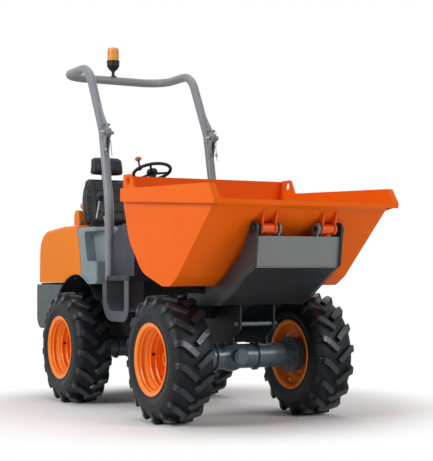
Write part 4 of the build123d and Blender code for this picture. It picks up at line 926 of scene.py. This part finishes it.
# ---- Hydraulic hoses -----------------------------------------------------------------------
# Two rubber hoses run between the chassis plates, from crimped steel ends ahead of the rear
# cross plate to bare ends under the deck strips, short of the tipping cylinder's port; they
# ride on the chassis.
hose_rubber = surface("hose_rubber", (0.012, 0.012, 0.013), 0.5, tone=0.1, peel=0.2, peel_scale=700.0, edge=0.0)
hose_runs = ([(112, -62, 600), (190, -66, 604), (300, -70, 612), (420, -72, 640), (520, -72, 668), (590, -78, 684)],
             [(112, 62, 600), (190, 66, 602), (300, 70, 608), (420, 72, 632), (520, 72, 664), (590, 78, 684)])
hose_tubes, hose_ends = [], []
for run in hose_runs:
    curve = bpy.data.curves.new("hose_route", "CURVE")
    curve.dimensions = "3D"
    spline = curve.splines.new("NURBS")
    spline.points.add(len(run) - 1)
    for point, at in zip(spline.points, run):
        point.co = (*at, 1)
    spline.order_u, spline.use_endpoint_u = 3, True
    route = bpy.data.objects.new("hose_route", curve)
    line = [tuple(v.co) for v in bpy.data.meshes.new_from_object(route).vertices]
    bpy.data.objects.remove(route)
    hose_tubes.append(swept(line, 7.5, 12))
    hose_ends += [bar(run[0], Vector(run[0]) + (Vector(line[2]) - Vector(line[0])).normalized() * 34, 9.5),
                  hexagon(19, 10, run[0], (1, 0, 0), washer=False)]
piece("hoses", hose_tubes, hose_rubber, "front_chassis")
piece("hose_ends", hose_ends, nut_zinc, "front_chassis")

# ---- Tower ---------------------------------------------------------------------------------
# Two cut arms with a folded grey front plate and a belly plate between them, painted near-black as painted shade, all
# welded;
# the skip turns on two greased pins with keeper plates.
TOWER_GREY = (0.20, 0.21, 0.21)
tower_grey = surface("tower_grey", TOWER_GREY, 0.40, tone=0.05, edge=0.0025, second=0.04, second_scale=14.0)
# the belly plate's near-black is painted shade on the folded plate, with dust near its foot
belly_painted_shade = surface("belly_painted_shade", (0.016, 0.018, 0.020), 0.42, tone=0.12, edge=0.002, dust=0.05, dust_top=0.9)
arm_dark = surface("arm_dark", (0.040, 0.044, 0.047), 0.40, tone=0.08, edge=0.0025)
dress(tower_grey, "tower_face")
dress(arm_dark, "tower_arm_left", "tower_arm_right")
dress(belly_painted_shade, "tower_belly")
dress(frame_paint, "pivot_pins")
PIVOT_X, PIVOT_Z = 1345, 1122
tower_welds, keepers = [], []
for side in (-1, 1):
    y = side * 273
    tower_welds += [weld((1360, y, 1074), (1336, y, 915)), weld((1326, y, 901), (1220, y, 845)),
                    weld((1216, y, 841), (1060, y, 742))]
    keepers += [bar((PIVOT_X, side * 284, PIVOT_Z), (PIVOT_X, side * 299, PIVOT_Z), 24, 32),
                hexagon(13, 7, (PIVOT_X - 26, side * 285, PIVOT_Z - 26), (0, side, 0)),
                bar((PIVOT_X, side * 299, PIVOT_Z), (PIVOT_X, side * 305, PIVOT_Z), 4, 12)]
tower_welds.append(weld((1335, -268, 907), (1335, 268, 907), 3.5))
piece("tower_welds", tower_welds, tower_grey, "front_chassis")
piece("pivot_keepers", keepers, frame_paint, "front_chassis")

# ---- Tipping cylinder ----------------------------------------------------------------------
# A hydraulic cylinder under the skip: painted barrel with a screwed gland, chromed rod and eye.
dress(frame_paint, "tipping_barrel")
dress(chrome_bar, "tipping_rod")
ROD_EYE_X, ROD_EYE_Z = 1110, 885
run = Vector((ROD_EYE_X - BASE_X, 0, ROD_EYE_Z - BASE_Z)).normalized()
out = Vector((-run.z, 0, run.x))
port = Vector((BASE_X, 0, BASE_Z)) + run * 500 + out * 38
gland = [bar(port, port + out * 16, 11, 20), hexagon(17, 8, port + out * 16, out)]
piece("tipping_port", gland, frame_paint, "tipping_barrel")

# ---- Skip ----------------------------------------------------------------------------------
# The skip is folded and welded sheet in gloss orange, stiffened by a rail along its top; its
# brackets turn on the tower's pins.
SKIP_ORANGE = (0.84, 0.131, 0.005)
skip_orange = surface("skip_orange", SKIP_ORANGE, 0.36, tone=0.05, shine=0.08, edge=0.003, second=0.03,
                      second_scale=7.0)
# the brackets get a darker, redder copy of the skip orange: painted shade
bracket_shaded_orange = surface("bracket_shaded_orange", (0.76, 0.095, 0.008), 0.34, coat=0.06, edge=0.002)
dress(skip_orange, "skip_floor", "skip_side_left", "skip_side_right", "skip_lip")
dress(bracket_shaded_orange, "skip_brackets")
EYE_X, EYE_Z = 340, 1440
skip_welds, eye_rings = [], []
for side in (-1, 1):
    skip_welds += [weld((1252, side * y, 1098), (1386, side * y, 1221), 2.8) for y in (150, 245)]
    inner = side * 563
    skip_welds += [weld((1000, inner, 876), (1380, inner, 1224), 2.6),
                   weld((800, inner, 807), (880, inner, 807), 2.6),
                   weld((279, inner, 1466), (262, inner, 1330), 2.6)]
    ring = [(EYE_X + 26 * cos(a), side * 577.6, EYE_Z + 26 * sin(a)) for a in turns(36)]
    eye_rings.append(swept(ring, 1.6, 8, closed=True))
piece("skip_welds", skip_welds + eye_rings, skip_orange, "skip")
band = turned([(16.5, -1.5), (25, -1.5), (26, 0), (25, 1.5), (16.5, 1.5)], 32, closed=True)
shims = []
for side in (-1, 1):
    for y in (148.5, 246.5):
        shims.append(moved(band, Matrix.Translation((PIVOT_X, side * y, PIVOT_Z))))
piece("bracket_shims", shims, nut_zinc, "skip")
